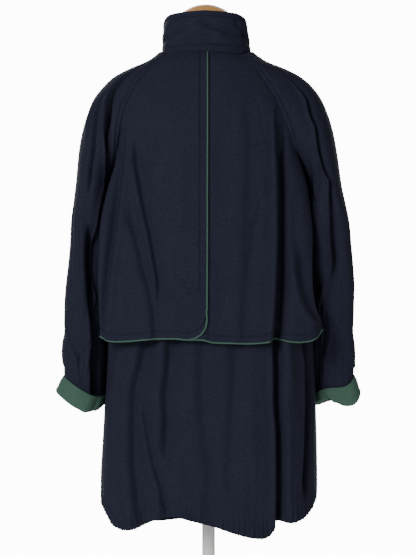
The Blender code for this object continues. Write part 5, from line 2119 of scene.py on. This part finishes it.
@dataclass
class CollarPiece(ClothPiece):
    """The stand collar or the band that it is sewn to, round the neck from front edge to front edge."""

    loop: Array = field(default_factory=lambda: np.zeros((2, 3)))
    centre_x: float = -6.5
    half_width: float = 78.5
    half_depth: float = 73.0
    is_band: bool = False
    top_seam: float = 10.0

    def surface(self) -> Grid:
        """Return the piece's outer surface, top row first.

        Returns:
            The surface as a grid.
        """
        base = self.loop + np.array([0.0, 0.0, 0.3])
        turn = np.degrees(np.arctan2(base[:, 0] - self.centre_x, -base[:, 1]))
        top_z, band = read(COLLAR_SHAPE, "top_z band", np.abs(turn), "turn")
        angle = np.radians(turn)
        top_x = self.centre_x + self.half_width * np.sin(angle)
        top = np.stack([top_x, -self.half_depth * np.cos(angle), top_z], axis=1)
        band = band / (top_z - base[:, 2])
        steps = np.linspace(0.0, 1.0, 9 if self.is_band else 49)[::-1, None]
        shares = steps * band if self.is_band else band + steps * (1.0 - band)
        points = base + (top - base) * shares[..., None]
        grid = Grid(points)
        height = (shares - band) / (1.0 - band)
        relief = np.zeros(shares.shape)
        if not self.is_band:
            relief += 1.6 * np.sin(math.pi * np.clip(height, 0.0, 1.0)) * (0.7 + 0.3 * np.cos(angle))
            around = turn + np.zeros_like(height)
            relief += fold_height(COLLAR_CREASES, around, height, COLLAR_FADE, COLLAR_HEIGHT)
            relief += 0.6 * undulation(angle * 78.0 + np.zeros_like(height), height * 60.0, 38.0, 101)
            relief -= groove((1.0 - height) * 68.0 - self.top_seam, 1.6, 1.5)
            relief *= smooth_step(height / 0.06)
        down = grid.sizes()[1]
        relief -= groove(down[-1:] - down, self.seam_width, self.seam_depth)
        if self.is_band:
            relief -= groove(down, self.seam_width, self.seam_depth)
        grid.press(relief)
        return grid

    def stitch_lines(self) -> list[Line]:
        """Return the topstitching below the top edge, or along the band's top.

        Returns:
            Each line's points and ways out.
        """
        columns = np.arange(3, self.grid.points.shape[1] - 3)
        if self.is_band:
            return [self.grid.sample(np.full(len(columns), 1.0), columns)]
        _, down = self.grid.sizes()
        number = np.arange(len(down))
        rows = np.array([np.interp(self.top_seam, down[:, column], number) for column in columns])
        low = np.full(len(columns), len(self.grid.points) - 2.2)
        return [self.grid.sample(rows, columns), self.grid.sample(low, columns)]


def neck_loop(pieces: dict[str, ClothPiece], opening: float) -> Array:
    """Return the neck seam's points, from the centre front round by the left and the back.

    Args:
        pieces: The coat's cloth pieces by node.
        opening: Half the gap between the collar's ends.

    Returns:
        The points.
    """
    points: list[Array] = []
    for name in ("front_left", "sleeve_left", "back", "sleeve_right", "front_right"):
        row = pieces[name].grid.points[0]
        points += list(row if not points else row[1:])
    loop = np.array(points)
    first = int(np.argmax(loop[:, 0] < -2.0 * opening))
    last = len(loop) - int(np.argmax(loop[::-1, 0] > 2.0 * opening))
    front = FRONT_LEVELS[0]
    ends = [np.array([[sign * opening, front.depth, front.centre_z]]) for sign in (-1.0, 1.0)]
    loop = np.vstack([ends[0], loop[first:last], ends[1]])
    run = lengths(loop)
    even = np.linspace(0.0, run[-1], 300)
    loop = np.stack([np.interp(even, run, loop[:, axis]) for axis in range(3)], axis=1)
    return Piping.smoothed(loop)


# Buttons

@dataclass
class Button:
    """A four-hole horn button, sewn through the upper front, over its worked buttonhole."""

    number: int
    level: float
    front: FrontPanel
    finishes: Finishes
    radius: float = 11.0
    thick: float = 3.2
    hole_spread: float = 2.6
    thread_radius: float = 0.55
    sides: int = 48

    def build(self) -> None:
        """Make the button and the thread through it."""
        seat, out = self.seat()
        across = unit(np.cross(out, np.array([0.0, 0.0, 1.0])))
        up = np.cross(out, across)

        def placed(points: Array) -> Array:
            """Turn points of the lying button to its place on the front."""
            return seat + points[:, :1] * across + points[:, 1:2] * up + points[:, 2:3] * out

        # The rounded edge, the raised lip and the dished middle, as steps in from the rim and heights.
        profile = [(self.radius - inset, height) for inset, height in (
            (2.0, 0.0), (0.5, 0.5), (0.0, 1.4), (0.2, 2.4), (0.9, self.thick - 0.2), (1.7, self.thick),
            (2.6, self.thick - 0.2), (3.4, self.thick - 0.9), (4.6, self.thick - 1.2),
            (self.radius - 0.6, self.thick - 1.2),
        )]
        points, faces = turned(profile, self.sides)
        mesh = mesh_of(f"horn_button_{self.number}", placed(points), faces, 40.0)
        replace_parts(link(mesh, self.finishes.horn), f"button_{self.number}")
        threads = []
        for degrees in (45.0, 135.0):
            # A bar of thread from hole to hole, through the middle.
            turn = math.radians(degrees)
            hole = np.array([math.cos(turn), math.sin(turn)]) * self.hole_spread
            path = np.array([[*(hole * share), self.thick - sink]
                             for share, sink in ((1.0, 1.5), (0.9, 0.9), (-0.9, 0.9), (-1.0, 1.5))])
            points, faces = tube(path, np.tile([0.0, 0.0, 1.0], (4, 1)), self.thread_radius, 8)
            threads.append((placed(points), faces))
        link(mesh_of(f"button_thread_{self.number}", *join(threads)), self.finishes.navy_thread)

    def seat(self) -> tuple[Array, Array]:
        """Return the button's place on the upper front and its way out, from its CAD node.

        Returns:
            The two, in millimetres and as a unit vector.
        """
        low, high = (np.array(corner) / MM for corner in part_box(f"button_{self.number}"))
        middle = (low + high) / 2.0
        grid = self.front.grid
        row = int(np.argmin(np.abs(grid.points[:, -8, 2] - self.level)))
        column = grid.column_at_x(row, 0.0)
        _, normal = grid.sample(np.array([float(row)]), np.array([column]))
        out = unit(normal[0] * np.array([0.0, 1.0, 1.0]))
        return np.array([middle[0], high[1] - self.thick, middle[2]]), out


# Stand

@dataclass
class DressForm:
    """The limbless dress form: linen torso and neck, beech cap, steel pole and round foot."""

    finishes: Finishes
    torso_x: float = -2.5
    neck_x: float = -5.5
    slack: float = 1.2            # the drawn torso stays this far inside its solid
    seam_turn: float = 0.62       # a cover's seam from the middle of the back or front, in radians
    cap_radius: float = 56.0
    cap_rim_z: float = 1480.0
    cap_rim: float = 6.0
    cap_top_z: float = 1511.0
    cap_roundness: float = 2.2
    pole_radius: float = 12.5
    foot_radius: float = 175.0
    foot_height: float = 14.0
    foot_bevel: float = 3.0
    collet_radius: float = 24.0
    collet_height: float = 34.0

    def build(self) -> None:
        """Make every piece of the stand."""
        self.lofted("torso", FORM_RINGS, self.torso_x, 150, self.slack, "form_torso")
        self.lofted("neck", NECK_RINGS, self.neck_x, 30, 0.0, "form_neck")
        self.cap()
        self.pole()
        self.foot()
        log.info("stand: torso, neck, cap, pole and foot")

    def lofted(
        self, name: str, table: Sequence[FormRing], centre_x: float, rows: int, slack: float, node: str,
    ) -> None:
        """Make an oval piece from its rings, with a linen cover sewn at four lengthways seams.

        Args:
            name: The piece's name.
            table: Its rings, from the top down.
            centre_x: Its middle.
            rows: How many rows of points.
            slack: How far inside its solid it stays.
            node: The CAD node that it stands for.
        """
        sides = 128
        place = np.linspace(0.0, len(table) - 1.0, rows)[:, None]
        z, half, back, front = read(table, "z half_width back front", place)
        angle = -2.0 * math.pi * np.linspace(0.0, 1.0, sides + 1)[None, :] - math.pi / 2.0
        seams = np.zeros_like(angle)
        for seam in (-self.seam_turn, self.seam_turn, math.pi - self.seam_turn, math.pi + self.seam_turn):
            away = np.angle(np.exp(1j * (angle + math.pi / 2.0 - seam)))
            seams = seams + np.exp(-((away / 0.012) ** 2))
        shrink = slack + 0.8 * seams
        x = centre_x + (half - shrink) * np.cos(angle)
        y = (np.where(np.sin(angle) > 0.0, front, back) - shrink) * np.sin(angle)
        points = np.stack([x, y, np.broadcast_to(z, x.shape)], axis=-1)
        grid = Grid(points, closed=True)
        across, down = grid.sizes()
        uv = np.stack([across.ravel(), -down.ravel()], axis=1) * MM
        number = np.arange(rows * (sides + 1)).reshape(rows, sides + 1)
        faces = np.stack([number[:-1, :-1], number[:-1, 1:], number[1:, 1:], number[1:, :-1]], axis=-1)
        faces = faces.reshape(-1, 4).tolist()
        faces.append(number[0, :-1].tolist()[::-1])
        faces.append(number[-1, :-1].tolist())
        mesh = mesh_of(name, points.reshape(-1, 3), faces, 55.0, uv)
        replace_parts(link(mesh, self.finishes.linen), node)

    def cap(self) -> None:
        """Make the turned cap with a rounded rim and a low dome."""
        dome = self.cap_top_z - self.cap_rim_z - self.cap_rim
        rim_z = self.cap_rim_z + self.cap_rim
        profile = [(self.cap_radius - 2.0, self.cap_rim_z), (self.cap_radius - 0.6, self.cap_rim_z + 0.6),
                   (self.cap_radius, self.cap_rim_z + 2.0), (self.cap_radius, self.cap_rim_z + self.cap_rim)]
        for share in np.linspace(0.97, 0.02, 20):
            profile.append((self.cap_radius * share, rim_z + dome * (1.0 - share ** self.cap_roundness)))
        points, faces = turned(profile, 128)
        mesh = mesh_of("cap", points + np.array([self.neck_x, 0.0, 0.0]), faces, 35.0)
        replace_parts(link(mesh, self.finishes.beech), "form_cap")

    def pole(self) -> None:
        """Make the pole with its collet."""
        base = self.foot_height
        profile = (
            (self.collet_radius - 1.0, base + 0.3), (self.collet_radius, base + 1.3),
            (self.collet_radius, base + self.collet_height - 2.0),
            (self.collet_radius - 2.0, base + self.collet_height),
            (self.pole_radius + 3.0, base + self.collet_height + 3.0),
            (self.pole_radius, base + self.collet_height + 6.0), (self.pole_radius, FORM_RINGS[-1].z - 0.3),
        )
        mesh = mesh_of("pole", *turned(profile, 64), 30.0)
        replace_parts(link(mesh, self.finishes.paint), "form_pole")

    def foot(self) -> None:
        """Make the round foot with a rounded edge."""
        profile = [(self.foot_radius - 1.0, 0.0), (self.foot_radius, 1.0)]
        for degrees in (0, 20, 40, 60, 80, 90):
            turn = math.radians(degrees)
            profile.append((self.foot_radius - self.foot_bevel * (1.0 - math.cos(turn)),
                            self.foot_height - self.foot_bevel * (1.0 - math.sin(turn))))
        mesh = mesh_of("foot", *turned(profile, 160), 30.0)
        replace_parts(link(mesh, self.finishes.paint), "form_base")


# Coat

@dataclass
class Coat:
    """The whole coat, piece by piece."""

    finishes: Finishes
    collar_opening: float = 2.5
    button_levels: tuple[float, ...] = (1292.0, 1200.0, 1108.0, 1016.0, 924.0, 832.0)

    def build(self) -> None:
        """Make every piece in the order in which a maker sews them."""
        pieces: dict[str, ClothPiece] = {}
        pieces["back"] = BackPanel("back", self.finishes, Cut(0.62, 0.93, 0.50), hold=Hold.GATHERED,
                                   rests_on=("form_torso",))
        for side in Side:
            name = side.value
            pieces["front_" + name] = FrontPanel(
                "front_" + name, self.finishes, Cut(0.36, 0.90, 0.27), hold=Hold.GATHERED,
                rests_on=("form_torso",), side=side,
            )
            pieces["sleeve_" + name] = RaglanSleeve(
                "sleeve_" + name, self.finishes, Cut(0.36, 0.72, 0.22), rests_on=("form_torso",), side=side,
            )
            pieces["cuff_" + name] = TurnedCuff(
                "cuff_" + name, self.finishes, Cut(0.27, 0.10, 0.022), slot=Slot.GREEN, hold=Hold.FOLDED,
                rests_on=("sleeve_" + name,), side=side,
            )
        pieces["cape_left"] = CapeHalf("cape_left", self.finishes, Cut(0.26, 0.58, 0.11),
                                       rests_on=("back",), side=Side.LEFT)
        pieces["cape_right"] = CapeHalf("cape_right", self.finishes, Cut(0.30, 0.58, 0.13),
                                        rests_on=("back",), side=Side.RIGHT, edge=-40.0)
        loop = neck_loop(pieces, self.collar_opening)
        for name, is_band in (("collar_band", True), ("collar", False)):
            pieces[name] = CollarPiece(
                name, self.finishes, Cut(0.50, 0.015 if is_band else 0.075, 0.006 if is_band else 0.034),
                thickness=2.6, rests_on=("back",), loop=loop, is_band=is_band,
            )
        for piece in pieces.values():
            piece.build()
        for side in Side:
            Piping(pieces["cape_" + side.value], self.finishes).build()
        for number, level in enumerate(self.button_levels, start=1):
            Button(number, level, pieces["front_right"], self.finishes).build()
        log.info("buttons: %d", len(self.button_levels))


# Studio

@dataclass
class Studio:
    """Camera, soft lights, pale floor and backdrop."""

    camera_distance: float = 4.5
    camera_z: float = 0.987
    camera_x: float = -0.001
    half_height: float = 0.5328        # half of the frame's height at the middle of the object
    floor_radius: float = 3.0
    room_light: float = 0.30
    wall_light: float = 13.0           # the white wall on the far side of the coat
    wall_edge: float = 0.80            # cosines of the angles from +Y where the wall begins and is full
    wall_full: float = 0.984

    def build(self) -> None:
        """Make the studio."""
        self.camera()
        self.lights()
        self.floor()

    def camera(self) -> None:
        """Place the camera level, square to the coat's back."""
        data = bpy.data.cameras.new("camera")
        data.sensor_width = 36.0
        data.lens = data.sensor_width / 2.0 * self.camera_distance / self.half_height
        data.clip_end = 60.0
        item = bpy.data.objects.new("camera", data)
        bpy.context.scene.collection.objects.link(item)
        item.location = (self.camera_x, -self.camera_distance, self.camera_z)
        item.rotation_euler = (math.radians(90.0), 0.0, 0.0)
        bpy.context.scene.camera = item

    def lights(self) -> None:
        """Hang three soft boxes and light the room, brightest from the white wall on the far side of the
        coat.
        """
        self.soft_box("key", (-2.1, -3.98, 2.4), 1.3, 128.0)
        self.soft_box("fill", (3.7, -2.6, 1.3), 1.8, 9.0)
        self.soft_box("rear", (-1.8, 3.4, 2.6), 2.0, 45.0)
        world = bpy.data.worlds.new("studio")
        bpy.context.scene.world = world
        world.use_nodes = True
        tree = world.node_tree
        tree.nodes.clear()
        place = add_node(tree, "TexCoord")
        way = add_node(tree, "SeparateXYZ", links={0: place.outputs["Generated"]})
        wall = add_node(
            tree, "MapRange",
            {"interpolation_type": "SMOOTHSTEP", 1: self.wall_edge, 2: self.wall_full, 3: self.room_light,
             4: self.wall_light},
            {0: way.outputs[1]},
        )
        light = add_node(tree, "Background", {"Color": (1.0, 1.0, 1.0, 1.0)},
                         {"Strength": wall.outputs[0]})
        add_node(tree, "OutputWorld", links={"Surface": light.outputs[0]})

    @staticmethod
    def soft_box(name: str, place: tuple[float, float, float], size: float, power: float) -> None:
        """Hang one square light that looks at the coat.

        Args:
            name: Its name.
            place: Where it hangs, in metres.
            size: Its side in metres.
            power: Its power in watts.
        """
        data = bpy.data.lights.new(name, "AREA")
        data.size = size
        data.energy = power
        item = bpy.data.objects.new(name, data)
        bpy.context.scene.collection.objects.link(item)
        item.location = place
        item.visible_camera = False
        aim = Vector((0.0, 0.0, 0.95)) - Vector(place)
        item.rotation_euler = aim.to_track_quat("-Z", "Y").to_euler()

    def floor(self) -> None:
        """Lay the pale floor."""
        sides = 96
        angle = 2.0 * math.pi * np.arange(sides) / sides
        radius = self.floor_radius / MM
        points = np.stack([radius * np.cos(angle), radius * np.sin(angle), np.full(sides, -0.2)], axis=1)
        mesh = mesh_of("floor", points, [list(range(sides))])
        mesh.materials.append(StudioPaper().build())
        item = bpy.data.objects.new("floor", mesh)
        bpy.context.scene.collection.objects.link(item)


def main() -> None:
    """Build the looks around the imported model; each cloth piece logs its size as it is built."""
    logging.basicConfig(level=logging.INFO, format="%(name)s: %(message)s")
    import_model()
    finishes = Finishes()
    Studio().build()
    DressForm(finishes).build()
    Coat(finishes).build()
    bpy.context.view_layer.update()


if __name__ == "__main__":
    main()
